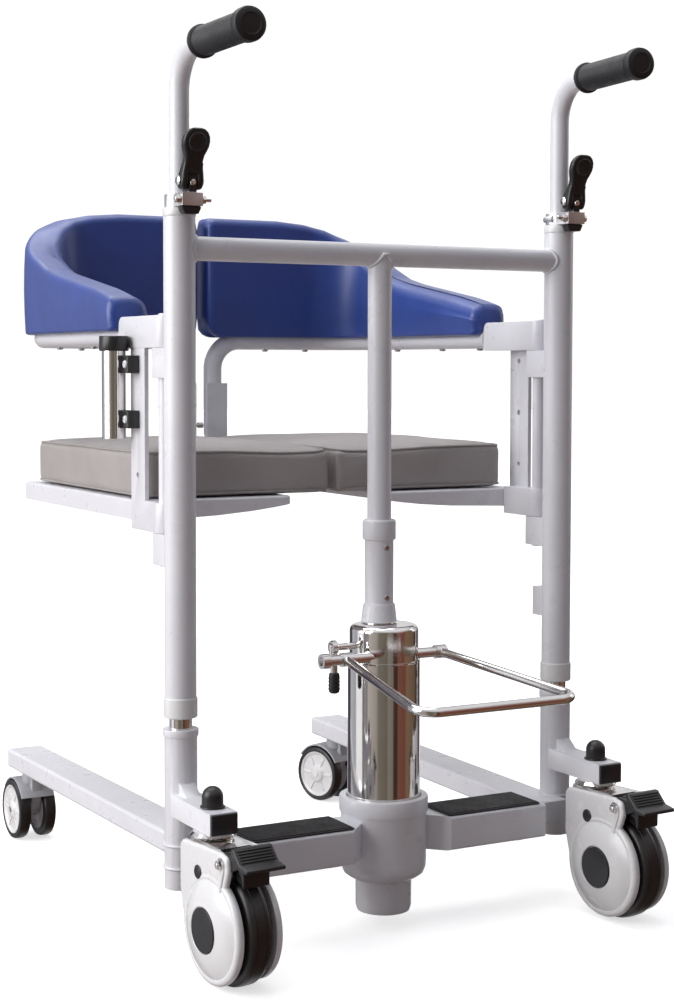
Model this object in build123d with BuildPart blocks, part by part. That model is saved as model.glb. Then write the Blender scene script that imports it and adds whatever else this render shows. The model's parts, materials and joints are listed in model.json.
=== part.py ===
from build123d import *
import os
from math import cos, sin, radians

os.makedirs("parts", exist_ok=True)

# A hydraulic patient transfer lift chair. Millimetres.
# +X runs from the left post to the right post, +Y from the carer towards the
# backrest, +Z up. The origin is on the floor, midway between the two posts.

# Driving dimensions
post_x = 250
post_r = 17.4
post_wall = 2.4
post_top = 805
collar_z = (260.3, 283)
collar_r = 18.6
guide_r = 12.5
guide_z = (100, 600)
tube_wall = 2.2
square_wall = 2.5
running = 0.05
fixed_gap = 0.05

# running is the radial clearance of a shaft that turns or slides; fixed_gap is
# left between curved faces of pieces that are welded or pressed together.

# Base
upright_r = 18.2
upright_z = (72, 248)
flange_r = 19.6
arm_z = (154, 178)
arm_half = 16
arm_end_y = -111
caster_y = -83
bar_y = (-58, 8)
bar_z = (85, 125)
bar_near = 64
bar_inner = 38
mitre_x = 43
mitre_y = -36
pad_x = (62, 190)
pad_top = 128
leg_z = (95.5, 120.5)
leg_width = 50
leg_in_x = (196, 210)
leg_y = (20, 566)
edge_r = 4
cap_sheet = 3
caster_stem_r = 6
nut_r = 11.5
stem_r = 5.9

# Hydraulic pump
pump_y = -12
housing_r = 49.5
housing_rim_r = 51.5
housing_z = (54, 150)
cup_r = 32.5
cup_z = 14
cup_bore = 25
floor_thick = 16
cylinder_r = 42
cylinder_wall = 3
cylinder_z = (100, 307)
cap_r = 40
cap_top = 348
rod_r = 12
rod_z = (40, 398)
shaft_y = -34
shaft_z = 314
shaft_r = 6
pedal_r = 5.2
pedal_near = 62
pedal_far = 99
pedal_end = 94
pedal_bend = 20
pedal_front = (-258, 293)
lever_y = -12
lever_z = 325
lever_r = 4
lever_x = (-66, -16)

# Lift frame
bar_r = 13.2
bar_level = 771.5
mast_r = 13.8
mast_z = (400, 771.5)
sleeve_r = 16.7
sleeve_z = (349.3, 468)
sleeve_collar_r = 19.3
hinge_y = 40
pin_r = 7.5
pin_z = (422, 702)
block_half = 12
fixed_blocks = ((424, 459), (631, 664))
stop_z = (338, 373)
stop_half = 10
stop_end = 36
screw_z = (378, 436)
screw_r = 3.6

# Push handles
handle_r = 11
handle_bottom = 655
handle_level = 983
handle_bend = 46
grip_reach = (60, 180)
handle_turn = {-1: 0, 1: 5}
grip_r = 15.5
handle_wall = 1.8
flange_of_grip = 18
clamp_z = (805.3, 814.5, 828.5)
spigot = 18
band_r = 16
band_half = 12
tab_half = 4.5
tab_y = (-36, -19)
tab_top = 850
rivet = (-28, 841)
rivet_r = 3
lever_half = 13
knob_half = 15.5
knob_r = 13.5

# Seat halves
plate_x = (256.4, 261.4)
plate_y = (72, 112)
plate_z = (470, 680)
arm_bracket_z = (664.4, 700)
arm_bracket_end = 147
bracket_r = 10
link_z = (459.4, 493)
plate_hole_y = 93
plate_hole_z = (521, 586, 651)
plate_hole_r = 3.2
rail_r = 12.5
rail_level = 679.5
rail_x = 248
rail_y = 512
rail_corner = 86
rail_drop_x = 24
rail_drop_r = 40
rail_drop_z = 547
pan_x = (2, 256)
pan_y = (98, 495)
pan_z = (468, 491)
pan_sheet = 2.4
pan_corner = 17
nose_r = 9
lip_r = 3
opening_half = 62
opening_y = 330
opening_bend = 50
taper = ((62, 481.5), (85, 478), (115, 474.5), (160, 471), (240, 468))
cushion_x = (1.5, 250)
cushion_y = (108, 480)
cushion_z = (491.6, 549)
cushion_corner = 16
foam_x = (224, 272)
foam_y = (148.4, 490, 535)
foam_split = 6
foam_z = (684, 850)
foam_corner = 108

# Accessory pole holder on the left plate
socket = (-279.5, 118)
socket_r = 13.5
socket_bore = 9.5
socket_z = (562, 661)
socket_cap_z = (650, 661, 678)
clip_z = (584, 646)

# Latch at the split
latch = (491.4, 562)

# Rear casters, swivelled a little from straight back
rear_wheel_r = 62.5
rear_trail = 42
rear_swivel = 4.5
tyre_half = 14
cover_gap = 19.4
cover_rim = 27
cover_hub = 36
cover_r = 58
axle_r = 6
brake_pivot = (66, 136)
brake_bolt_r = 4

# Front casters
front_x = 235
front_y = 536
front_wheel_r = 40
front_trail = 16
front_turn = {-1: 0, 1: 17}
front_wheel_w = (9, 26)
front_axle_r = 4
hood_half = 7


def save(piece, name):
    piece.part.label = name
    export_step(piece.part, f"parts/{name}.step")


def side_name(side):
    return "left" if side < 0 else "right"


def span(a, b):
    """Middle and length of a stretch."""
    return (a + b) / 2, abs(b - a)


def block(x, y, z, mode=Mode.ADD):
    """A box between two limits on each axis."""
    (mx, lx), (my, ly), (mz, lz) = span(*x), span(*y), span(*z)
    with Locations((mx, my, mz)):
        Box(lx, ly, lz, mode=mode)


def past(limits):
    """The same stretch run a little past both ends, for a cut that goes right through."""
    return limits[0] - 1, limits[1] + 1


def rod_up(x, y, z, r, mode=Mode.ADD):
    """An upright round bar between two heights."""
    mz, lz = span(*z)
    with Locations((x, y, mz)):
        Cylinder(r, lz, mode=mode)


def rod_across(x, y, z, r, mode=Mode.ADD):
    """A round bar along X."""
    mx, lx = span(*x)
    with Locations(Location((mx, y, z), (0, 90, 0))):
        Cylinder(r, lx, mode=mode)


def rod_back(x, y, z, r, mode=Mode.ADD):
    """A round bar along Y."""
    my, ly = span(*y)
    with Locations(Location((x, my, z), (90, 0, 0))):
        Cylinder(r, ly, mode=mode)


# ---------------------------------------------------------------- base

def crossbar():
    """Two square tubes whose closed, mitred ends are welded to the pump housing."""
    with BuildPart() as bar:
        for side in (-1, 1):
            with BuildSketch(Plane.XY.offset(bar_z[0])):
                with BuildLine():
                    Polyline((side * bar_near, bar_y[0]), (side * leg_in_x[0], bar_y[0]),
                             (side * leg_in_x[0], bar_y[1]), (side * bar_inner, bar_y[1]),
                             (side * bar_inner, mitre_y), (side * mitre_x, mitre_y), close=True)
                make_face()
            extrude(amount=bar_z[1] - bar_z[0])
        fillet(bar.edges().filter_by(Axis.X), edge_r)
        wall_y = (bar_y[0] + square_wall, bar_y[1] - square_wall)
        wall_z = (bar_z[0] + square_wall, bar_z[1] - square_wall)
        for side in (-1, 1):
            block((side * (bar_near + square_wall), side * (leg_in_x[0] + 1)), wall_y, wall_z,
                  mode=Mode.SUBTRACT)
        rod_up(0, pump_y, past(bar_z), housing_r + fixed_gap, mode=Mode.SUBTRACT)
    save(bar, "base_crossbar")


def leg(side):
    """A flat tube that starts under the post and splays out a little to the front."""
    x0, x1 = leg_in_x
    back = bar_y[0] + 20
    with BuildPart() as tube:
        with BuildSketch(Plane.XY.offset(leg_z[0])):
            with BuildLine():
                Polyline((side * x0, back), (side * x0, leg_y[0]), (side * x1, leg_y[1]),
                         (side * (x1 + leg_width), leg_y[1]), (side * (x0 + leg_width), leg_y[0]),
                         (side * (x0 + leg_width), back), close=True)
            make_face()
        extrude(amount=leg_z[1] - leg_z[0])
        long_edges = tube.edges().filter_by(Axis.Z, reverse=True).filter_by(
            lambda e: leg_y[0] + 1 < e.center().Y < leg_y[1] - 1)
        fillet(long_edges, edge_r)
        offset(amount=-square_wall, openings=tube.faces().sort_by(Axis.Y)[-1])
        rod_up(side * post_x, 0, past(leg_z), upright_r + fixed_gap, mode=Mode.SUBTRACT)
        rod_up(side * front_x, front_y, (leg_z[0] - 1, leg_z[0] + 8), stem_r + fixed_gap,
               mode=Mode.SUBTRACT)
    save(tube, f"{side_name(side)}_leg")


def leg_end_caps():
    with BuildPart() as caps:
        for side in (-1, 1):
            x0 = leg_in_x[1] + 1
            block((side * x0, side * (x0 + leg_width - 2)), (leg_y[1], leg_y[1] + cap_sheet),
                  (leg_z[0] + 1, leg_z[1] - 1))
    save(caps, "leg_end_caps")


def upright(side):
    """The outer socket of a post, with an arm to the rear that carries a caster."""
    x = side * post_x
    top = arm_z[1]
    gusset_half = 9
    with BuildPart() as post:
        rod_up(x, 0, upright_z, upright_r)
        rod_up(x, 0, (upright_z[1] - 8, upright_z[1]), flange_r)
        block((x - arm_half, x + arm_half), (arm_end_y, 0), arm_z)
        with BuildSketch(Plane.YZ.offset(x - gusset_half)):
            with BuildLine():
                Polyline((0, top - 2), (-40, top - 2), (-32, top + 2), (-19, top + 12),
                         (0, top + 18), close=True)
            make_face()
        extrude(amount=2 * gusset_half)
        rod_up(x, 0, (guide_z[0], upright_z[1] + 1), guide_r, mode=Mode.SUBTRACT)
        rod_up(x, caster_y, past(arm_z), caster_stem_r + 0.1, mode=Mode.SUBTRACT)
    save(post, f"{side_name(side)}_upright")


def arm_end_caps():
    with BuildPart() as caps:
        for side in (-1, 1):
            x = side * post_x
            block((x - arm_half + 1, x + arm_half - 1), (arm_end_y - cap_sheet, arm_end_y),
                  (arm_z[0] + 1, arm_z[1] - 1))
    save(caps, "arm_end_caps")


def stem_caps():
    with BuildPart() as caps:
        for side in (-1, 1):
            x = side * post_x
            rod_up(x, caster_y, (arm_z[1], arm_z[1] + nut_r), nut_r)
            with Locations((x, caster_y, arm_z[1] + nut_r)):
                Sphere(nut_r)
    save(caps, "stem_caps")


def step_pads():
    with BuildPart() as pads:
        for side in (-1, 1):
            block((side * pad_x[0], side * pad_x[1]), (bar_y[0] + 2, bar_y[1] - 2),
                  (bar_z[1], pad_top))
    save(pads, "step_pads")


def guide_tubes():
    with BuildPart() as tubes:
        for side in (-1, 1):
            rod_up(side * post_x, 0, guide_z, guide_r)
        for side in (-1, 1):
            rod_up(side * post_x, 0, past(guide_z), guide_r - tube_wall, mode=Mode.SUBTRACT)
    save(tubes, "guide_tubes")


# ---------------------------------------------------------------- pump

def pump_housing():
    r = housing_r
    z0, z1 = housing_z
    bowl = cylinder_r + fixed_gap
    with BuildPart() as housing:
        with BuildSketch(Plane.XZ.offset(-pump_y)):
            with BuildLine():
                Polyline((0, cup_z), (cup_r - 5, cup_z), (cup_r, cup_z + 6), (cup_r, z0),
                         (r - 11, z0), (r, z0 + 12), (r, z1 - 20), (housing_rim_r, z1 - 18),
                         (housing_rim_r, z1), (bowl, z1), (bowl, cylinder_z[0]),
                         (cup_bore, cylinder_z[0]), (cup_bore, cup_z + floor_thick),
                         (0, cup_z + floor_thick), close=True)
            make_face()
        revolve(axis=Axis((0, pump_y, 0), (0, 0, 1)))
    save(housing, "pump_housing")


def pump_cylinder():
    with BuildPart() as cylinder:
        rod_up(0, pump_y, cylinder_z, cylinder_r)
        rod_up(0, pump_y, past(cylinder_z), cylinder_r - cylinder_wall, mode=Mode.SUBTRACT)
    save(cylinder, "pump_cylinder")


def pump_cap():
    with BuildPart() as cap:
        rod_up(0, pump_y, (cylinder_z[1], cap_top), cap_r)
        fillet(cap.edges().filter_by(GeomType.CIRCLE).sort_by(Axis.Z)[-1], 7)
        rod_up(0, 0, past((cylinder_z[1], cap_top)), rod_r + running, mode=Mode.SUBTRACT)
        rod_across(past((-cap_r, cap_r)), shaft_y, shaft_z, shaft_r + running,
                   mode=Mode.SUBTRACT)
        rod_across((-cap_r - 1, lever_x[1] + 2), lever_y, lever_z, lever_r + running,
                   mode=Mode.SUBTRACT)
    save(cap, "pump_cap")


def foot_pedal():
    """One bent rod: two splayed arms and a front bar, on a cross shaft."""
    y1, z1 = pedal_front
    left = (-pedal_near, shaft_y, shaft_z)
    right = (pedal_near, shaft_y, shaft_z)
    with BuildPart() as pedal:
        with BuildLine() as route:
            FilletPolyline(left, (-pedal_far, y1, z1), (pedal_far, y1, z1), right,
                           radius=pedal_bend)
        with BuildSketch(Plane(origin=route.wire() @ 0, z_dir=route.wire() % 0)):
            Circle(pedal_r)
        sweep()
        rod_across((-pedal_end + 6, pedal_near + 4), shaft_y, shaft_z, shaft_r)
        for side in (-1, 1):
            boss = (side * (pedal_near - 7), side * (pedal_near + 7))
            rod_across(boss, shaft_y, shaft_z, shaft_r + 2)
        rod_across((-pedal_end, -pedal_end + 9), shaft_y, shaft_z, 8.5)
        rod_across((-pedal_end - 1, -pedal_end + 5), shaft_y, shaft_z, 5, mode=Mode.SUBTRACT)
    save(pedal, "foot_pedal")


def release_lever():
    with BuildPart() as lever:
        rod_across(lever_x, lever_y, lever_z, lever_r)
        block((lever_x[0], lever_x[0] + 6), (lever_y - 6, lever_y + 6), (lever_z - 24, lever_z + 6))
        rod_up(lever_x[0] + 3, lever_y, (lever_z - 52, lever_z - 22), 6.5)
    save(lever, "release_lever")


def piston_rod():
    with BuildPart() as rod:
        rod_up(0, 0, rod_z, rod_r)
        chamfer(rod.edges().filter_by(GeomType.CIRCLE), 1)
    save(rod, "piston_rod")


# ---------------------------------------------------------------- lift frame

def lift_post(side):
    x = side * post_x
    with BuildPart() as post:
        rod_up(x, 0, (collar_z[1], post_top), post_r)
        rod_up(x, 0, past((collar_z[1], post_top)), post_r - post_wall, mode=Mode.SUBTRACT)
    save(post, f"{side_name(side)}_post")


def post_collars():
    with BuildPart() as collars:
        for side in (-1, 1):
            rod_up(side * post_x, 0, collar_z, collar_r)
        fillet(collars.edges().filter_by(GeomType.CIRCLE), 2)
        for side in (-1, 1):
            rod_up(side * post_x, 0, past(collar_z), guide_r + running, mode=Mode.SUBTRACT)
    save(collars, "post_collars")


def upper_crossbar():
    with BuildPart() as bar:
        rod_across((-post_x, post_x), 0, bar_level, bar_r)
        rod_across((-post_x, post_x), 0, bar_level, bar_r - tube_wall, mode=Mode.SUBTRACT)
        around_bar = (bar_level - bar_r - 1, bar_level + bar_r + 1)
        for side in (-1, 1):
            rod_up(side * post_x, 0, around_bar, post_r + fixed_gap, mode=Mode.SUBTRACT)
    save(bar, "upper_crossbar")


def mast():
    with BuildPart() as tube:
        rod_up(0, 0, mast_z, mast_r)
        rod_up(0, 0, past(mast_z), mast_r - tube_wall, mode=Mode.SUBTRACT)
        rod_across(past((-mast_r, mast_r)), 0, bar_level, bar_r + fixed_gap, mode=Mode.SUBTRACT)
    save(tube, "mast_tube")


def mast_sleeve():
    """The socket that joins the mast to the piston rod."""
    z0, z1 = sleeve_z
    upper, lower = mast_r + fixed_gap, rod_r + fixed_gap
    with BuildPart() as sleeve:
        with BuildSketch(Plane.XZ):
            with BuildLine():
                Polyline((lower, z0), (21, z0), (18.6, z0 + 20), (sleeve_r, z0 + 22),
                         (sleeve_r, z1 - 24), (sleeve_collar_r, z1 - 23),
                         (sleeve_collar_r, z1 - 2), (sleeve_collar_r - 2, z1), (upper, z1),
                         (upper, mast_z[0]), (lower, mast_z[0]), close=True)
            make_face()
        revolve(axis=Axis.Z)
    save(sleeve, "mast_sleeve")


def sleeve_screws():
    with BuildPart() as screws:
        for z in screw_z:
            rod_back(0, (-sleeve_r - fixed_gap, -sleeve_r - 2), z, screw_r)
    save(screws, "sleeve_screws")


def hinge_blocks():
    """Two blocks behind each post carry the seat's hinge pin."""
    with BuildPart() as blocks:
        for side in (-1, 1):
            for z in fixed_blocks:
                block((side * post_x - block_half, side * post_x + block_half),
                      (post_r / 2, hinge_y + block_half), z)
        block((post_x - stop_half, post_x + stop_half), (post_r / 2, stop_end), stop_z)
        fillet(blocks.edges().filter_by(Axis.Z).group_by(Axis.Y)[-1], edge_r)
        for side in (-1, 1):
            rod_up(side * post_x, 0, (collar_z[1], post_top), post_r + fixed_gap,
                   mode=Mode.SUBTRACT)
            rod_up(side * post_x, hinge_y, pin_z, pin_r + fixed_gap, mode=Mode.SUBTRACT)
    save(blocks, "hinge_blocks")


def hinge_pins():
    with BuildPart() as pins:
        for side in (-1, 1):
            rod_up(side * post_x, hinge_y, pin_z, pin_r)
        chamfer(pins.edges().filter_by(GeomType.CIRCLE), 1)
    save(pins, "hinge_pins")


# ---------------------------------------------------------------- handles

def clamp_collars():
    with BuildPart() as collars:
        for side in (-1, 1):
            rod_up(side * post_x, 0, (post_top, clamp_z[1]), post_r + 0.6)
            rod_up(side * post_x, 0, (post_top - spigot, post_top),
                   post_r - post_wall - fixed_gap)
        for side in (-1, 1):
            rod_up(side * post_x, 0, past((post_top - spigot, clamp_z[1])), handle_r + running,
                   mode=Mode.SUBTRACT)
    save(collars, "clamp_collars")


def clamp_bands():
    """A split band with a tab for the lever, its pinch bolt, and the lever's rivet."""
    with BuildPart() as bands:
        for side in (-1, 1):
            x = side * post_x
            rod_up(x, 0, clamp_z[1:], band_r)
            block((x - band_half, x + band_half), (tab_y[0], 0), clamp_z[1:])
            block((x - tab_half, x + tab_half), tab_y, (clamp_z[2] - 1, tab_top))
            rod_across((x - lever_half - 1.5, x + lever_half + 1.5), *rivet, rivet_r)
            rod_back(x - side * (band_r - 2), (-8, 8), sum(clamp_z[1:]) / 2, 4)
        for side in (-1, 1):
            rod_up(side * post_x, 0, past(clamp_z[1:]), handle_r + running, mode=Mode.SUBTRACT)
    save(bands, "clamp_bands")


def clamp_lever(side):
    """A forked cam foot on the rivet, a waist, and a round head to press on."""
    x = side * post_x
    y, z = rivet
    with BuildPart() as lever:
        with BuildSketch(Plane.YZ.offset(x - lever_half)):
            with BuildLine():
                rear = Polyline((y + 7, z - 4), (y - 5, z - 10), (y - 12, z), (y - 14, z + 18),
                                (y - 27, z + 40))
                head = ThreePointArc(rear @ 1, (y - 18, z + 55), (y - 3, z + 46))
                Polyline(head @ 1, (y - 2, z + 22), (y + 7, z + 6), rear @ 0)
            make_face()
        extrude(amount=2 * lever_half)
        with BuildSketch(Plane.YZ.offset(x - knob_half)):
            with Locations((y - 15, z + 41)):
                Circle(knob_r)
        extrude(amount=2 * knob_half)
        gap = tab_half + 0.3
        block((x - gap, x + gap), (y - 20, y + 12), (z - 12, z + 14), mode=Mode.SUBTRACT)
        rod_across((x - knob_half - 1, x + knob_half + 1), y, z, rivet_r + running,
                   mode=Mode.SUBTRACT)
    save(lever, f"{side_name(side)}_clamp_lever")


def handle_way(side):
    """The direction in which a handle points back to the carer."""
    turn = radians(handle_turn[side])
    return -side * sin(turn), -cos(turn)


def handle(side):
    x = side * post_x
    wx, wy = handle_way(side)
    tip = grip_reach[1] - 6
    with BuildPart() as tube:
        with BuildLine() as route:
            FilletPolyline((x, 0, handle_bottom), (x, 0, handle_level),
                           (x + wx * tip, wy * tip, handle_level), radius=handle_bend)
        with BuildSketch(Plane(origin=route.wire() @ 0, z_dir=(0, 0, 1))):
            Circle(handle_r)
            Circle(handle_r - handle_wall, mode=Mode.SUBTRACT)
        sweep()
    save(tube, f"{side_name(side)}_handle")


def grip(side):
    """A rubber sleeve with a flange at each end, closed over the tube's end."""
    x = side * post_x
    wx, wy = handle_way(side)
    start, end = grip_reach
    flange = flange_of_grip
    bore = handle_r + fixed_gap
    with BuildPart() as sleeve:
        with BuildSketch(Plane(origin=(x, 0, handle_level), x_dir=(wx, wy, 0),
                               z_dir=(wy, -wx, 0))):
            with BuildLine():
                edge = Polyline((start, bore), (start, flange), (start + 5, flange),
                                (start + 7, grip_r), (end - 14, grip_r), (end - 12, flange),
                                (end - 4, flange))
                nose = ThreePointArc(edge @ 1, (end - 1.4, 13), (end, 7))
                Polyline(nose @ 1, (end, 0), (end - 6, 0), (end - 6, bore), edge @ 0)
            make_face()
        revolve(axis=Axis((x, 0, handle_level), (wx, wy, 0)))
    save(sleeve, f"{side_name(side)}_grip")


# ---------------------------------------------------------------- seat halves

def side_plate(side):
    """Plate, arm bracket and lower link: one weldment that turns on the pin."""
    xs = (side * plate_x[0], side * plate_x[1])
    inner = side * (post_x - block_half)
    outer = side * (post_x + block_half)
    with BuildPart() as plate:
        block(xs, plate_y, plate_z)
        block((inner, outer), (hinge_y, arm_bracket_end), arm_bracket_z)
        front_edge = plate.edges().filter_by(Axis.X).sort_by_distance(
            (side * post_x, arm_bracket_end, arm_bracket_z[1]))[0]
        fillet(front_edge, bracket_r)
        rod_up(side * post_x, hinge_y, arm_bracket_z, block_half)
        block((inner, side * plate_x[1]), (hinge_y, pan_y[0] - 0.1), link_z)
        block(xs, (pan_y[0] - 5, plate_y[1]), link_z)
        rod_up(side * post_x, hinge_y, link_z, block_half)
        for z in plate_hole_z:
            rod_across(xs, plate_hole_y, z, plate_hole_r, mode=Mode.SUBTRACT)
        for z in (arm_bracket_z, link_z):
            rod_up(side * post_x, hinge_y, z, pin_r + running, mode=Mode.SUBTRACT)
    save(plate, f"{side_name(side)}_side_plate")


def back_rail(side):
    """The tube that carries the foam, bent down to the pan at the split."""
    path = ((side * rail_x, arm_bracket_end, rail_level),
            (side * rail_x, rail_y, rail_level),
            (side * rail_drop_x, rail_y, rail_level),
            (side * rail_drop_x, rail_y, rail_drop_z))
    with BuildPart() as rail:
        with BuildLine() as route:
            FilletPolyline(*path, radius=(rail_corner, rail_drop_r))
        with BuildSketch(Plane(origin=path[0], z_dir=(0, 1, 0))):
            Circle(rail_r)
            Circle(rail_r - tube_wall, mode=Mode.SUBTRACT)
        sweep()
        strap_y = (rail_y - rail_r - 4, rail_y - 8)
        block((side * 8, side * 39), strap_y, (pan_z[1] + 1, 620))
        block((side * 8, side * 60), strap_y, (pan_z[0] + 4, pan_z[1] + 1.5))
    save(rail, f"{side_name(side)}_back_rail")


def pan_outline(side):
    """Half of the seat seen from above, with half of the front opening."""
    x0, x1 = side * pan_x[0], side * pan_x[1]
    y0, y1 = pan_y
    cut = side * opening_half
    bend = opening_bend
    with BuildLine() as outline:
        Polyline((cut, opening_y - bend), (cut, y0), (x1, y0), (x1, y1), (x0, y1),
                 (x0, opening_y + 2), (side * 12, opening_y))
        mid = (side * (opening_half - bend * (1 - cos(radians(45)))),
               opening_y - bend * (1 - sin(radians(45))))
        ThreePointArc((side * 12, opening_y), mid, (cut, opening_y - bend))
    make_face(outline.edges())


def seat_pan(side):
    """A pressed tray, open below; its front flange tapers towards the opening."""
    with BuildPart() as pan:
        with BuildSketch(Plane.XY.offset(pan_z[0])):
            pan_outline(side)
        extrude(amount=pan_z[1] - pan_z[0])
        corner = pan.edges().filter_by(Axis.Z).sort_by_distance(
            (side * pan_x[1], pan_y[0], pan_z[0]))[0]
        fillet(corner, pan_corner)
        nose = pan.edges().filter_by(Axis.Z).sort_by_distance(
            (side * opening_half, pan_y[0], pan_z[0]))[0]
        fillet(nose, nose_r)
        fillet(pan.faces().sort_by(Axis.Z)[-1].edges(), lip_r)
        offset(amount=-pan_sheet, openings=pan.faces().sort_by(Axis.Z)[0])
        below = pan_z[0] - 1
        edge = [(side * x, z) for x, z in taper]
        with BuildSketch(Plane.XZ):
            with BuildLine():
                Polyline((0, below), (0, taper[0][1]), *edge, (edge[-1][0], below), close=True)
            make_face()
        extrude(amount=-opening_y, mode=Mode.SUBTRACT)
    save(pan, f"{side_name(side)}_seat_pan")


def cushion(side):
    with BuildPart() as pad:
        block((side * cushion_x[0], side * cushion_x[1]), cushion_y, cushion_z)
        outer = pad.edges().filter_by(Axis.Z).sort_by(Axis.X)
        fillet(outer[:2] if side < 0 else outer[-2:], cushion_corner)
    save(pad, f"{side_name(side)}_cushion")


def foam_back(side):
    """The arm and half of the back, in one moulding."""
    x0, x1 = side * foam_x[0], side * foam_x[1]
    y0, yi, yo = foam_y
    inner_r = foam_corner - (foam_x[1] - foam_x[0])
    c = cos(radians(45))
    with BuildPart() as foam:
        with BuildSketch(Plane.XY.offset(foam_z[0])):
            with BuildLine():
                Polyline((x0, yi - inner_r), (x0, y0), (x1, y0), (x1, yo - foam_corner))
                ThreePointArc((x1, yo - foam_corner),
                              (x1 - side * foam_corner * (1 - c), yo - foam_corner * (1 - c)),
                              (x1 - side * foam_corner, yo))
                Polyline((x1 - side * foam_corner, yo), (side * foam_split, yo),
                         (side * foam_split, yi), (x0 - side * inner_r, yi))
                ThreePointArc((x0 - side * inner_r, yi),
                              (x0 - side * inner_r * (1 - c), yi - inner_r * (1 - c)),
                              (x0, yi - inner_r))
            make_face()
        extrude(amount=foam_z[1] - foam_z[0])
        with BuildSketch(Plane.YZ.offset(-300)):
            with BuildLine():
                Polyline((100, 722), (206, 741), (359, 762), (420, 785), (470, 822), (490, 838),
                         (508, 848), (560, 850), (560, 900), (100, 900), close=True)
            make_face()
        extrude(amount=600, mode=Mode.SUBTRACT)
        with BuildLine() as groove:
            FilletPolyline((side * rail_x, 100, rail_level), (side * rail_x, rail_y, rail_level),
                           (-side * 60, rail_y, rail_level), radius=rail_corner)
        with BuildSketch(Plane(origin=(side * rail_x, 100, rail_level), z_dir=(0, 1, 0))):
            Circle(rail_r + 0.4)
        sweep(path=groove.wire(), mode=Mode.SUBTRACT)
    save(foam, f"{side_name(side)}_foam_back")


def seat_latch():
    """A spring pin in the left half that meets the right half at the split."""
    with BuildPart() as pin:
        rod_across((-7.8, -1), *latch, 4)
        rod_across((-16, -7), *latch, 2)
    save(pin, "seat_latch")


def pole_socket():
    """A holder for an accessory pole beside the left plate."""
    x, y = socket
    r = socket_r
    wall = 2
    plate_face = -plate_x[1] - fixed_gap
    with BuildPart() as tube:
        rod_up(x, y, socket_z, r)
        rod_up(x, y, (socket_z[0] + wall, socket_z[1] + 1), r - wall, mode=Mode.SUBTRACT)
    save(tube, "pole_tube")
    with BuildPart() as cap:
        rod_up(x, y, socket_cap_z[1:], r + 3)
        rod_up(x, y, socket_cap_z[:2], r - wall - fixed_gap)
        rod_up(x, y, past((socket_cap_z[0], socket_cap_z[2])), socket_bore, mode=Mode.SUBTRACT)
    save(cap, "pole_cap")
    with BuildPart() as clips:
        for z in clip_z:
            grasp = (z - 10, z + 10)
            block((x + 4, plate_face), (86, y), grasp)
            rod_across((plate_face - 12, plate_face), 92, z, 5.5)
        for z in clip_z:
            rod_up(x, y, (z - 11, z + 11), r + fixed_gap, mode=Mode.SUBTRACT)
    save(clips, "pole_clips")


# ---------------------------------------------------------------- rear casters

def caster_point(side, u, w, z):
    """A point u behind the swivel axis and w across it, towards +X."""
    turn = radians(rear_swivel)
    x = side * post_x + u * sin(turn) + w * cos(turn)
    y = caster_y - u * cos(turn) + w * sin(turn)
    return x, y, z


def across_plane(side, w):
    """A plane across the caster at distance w, x back along the trail, y up."""
    turn = radians(rear_swivel)
    return Plane(origin=caster_point(side, 0, w, 0), x_dir=(sin(turn), -cos(turn), 0),
                 z_dir=(-cos(turn), -sin(turn), 0))


def rear_fork(side):
    """Swivel head, two horns, the axle, and the brake's pivot bolt."""
    head_z = (143, 147.5)
    head_r = 19
    horn_w = (16, 19)
    horn = horn_w[1] - horn_w[0]
    with BuildPart() as fork:
        rod_up(side * post_x, caster_y, head_z, head_r)
        rod_up(side * post_x, caster_y, (head_z[0] + 2, arm_z[1] - 1), caster_stem_r)
        for w in (horn_w[1], -horn_w[0]):
            with BuildSketch(across_plane(side, w)):
                with BuildLine():
                    Polyline((-19, 147), (52, 147), (52, 118), (54, 62), (48, 50), (36, 50),
                             (30, 62), (-19, 128), close=True)
                make_face()
            extrude(amount=horn)
        with BuildSketch(across_plane(side, horn_w[1])):
            with Locations((16, 145)):
                Rectangle(70, 4)
        extrude(amount=2 * horn_w[1])
        rods = ((rear_trail, rear_wheel_r, axle_r, 34), (*brake_pivot, brake_bolt_r, 30))
        for u, z, r, half in rods:
            with BuildSketch(across_plane(side, half)):
                with Locations((u, z)):
                    Circle(r)
            extrude(amount=2 * half)
    save(fork, f"{side_name(side)}_rear_fork")


def cover_profile():
    with BuildLine() as outline:
        Polyline((-24, 141), (-20, 143), (70, 146), (76, 142), (78, 130), (72, 112), (70, 92),
                 (66, 86), (66, 62), (-15, 62), (-20, 84), close=True)
    make_face(outline.edges())
    with Locations((rear_trail, rear_wheel_r)):
        Circle(cover_r)


def rear_covers(side):
    """A plastic cover on each side of the wheel, domed towards the hub."""
    with BuildPart() as covers:
        for out in (-1, 1):
            inner = across_plane(side, out * cover_gap)
            with BuildSketch(inner):
                cover_profile()
            extrude(amount=-out * (cover_rim - cover_gap))
            with BuildSketch(across_plane(side, out * cover_rim)):
                with Locations((rear_trail, rear_wheel_r)):
                    Circle(cover_r - 6)
            with BuildSketch(across_plane(side, out * cover_hub)):
                with Locations((rear_trail, rear_wheel_r)):
                    Circle(30)
            loft()
        for out in (-1, 1):
            with BuildSketch(across_plane(side, out * (cover_gap - 1))):
                with Locations((rear_trail, rear_wheel_r)):
                    Circle(axle_r + 0.3)
                with Locations(brake_pivot):
                    Circle(brake_bolt_r + 0.1)
            extrude(amount=-out * (cover_hub - cover_gap - 1), mode=Mode.SUBTRACT)
    save(covers, f"{side_name(side)}_rear_covers")


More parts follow.
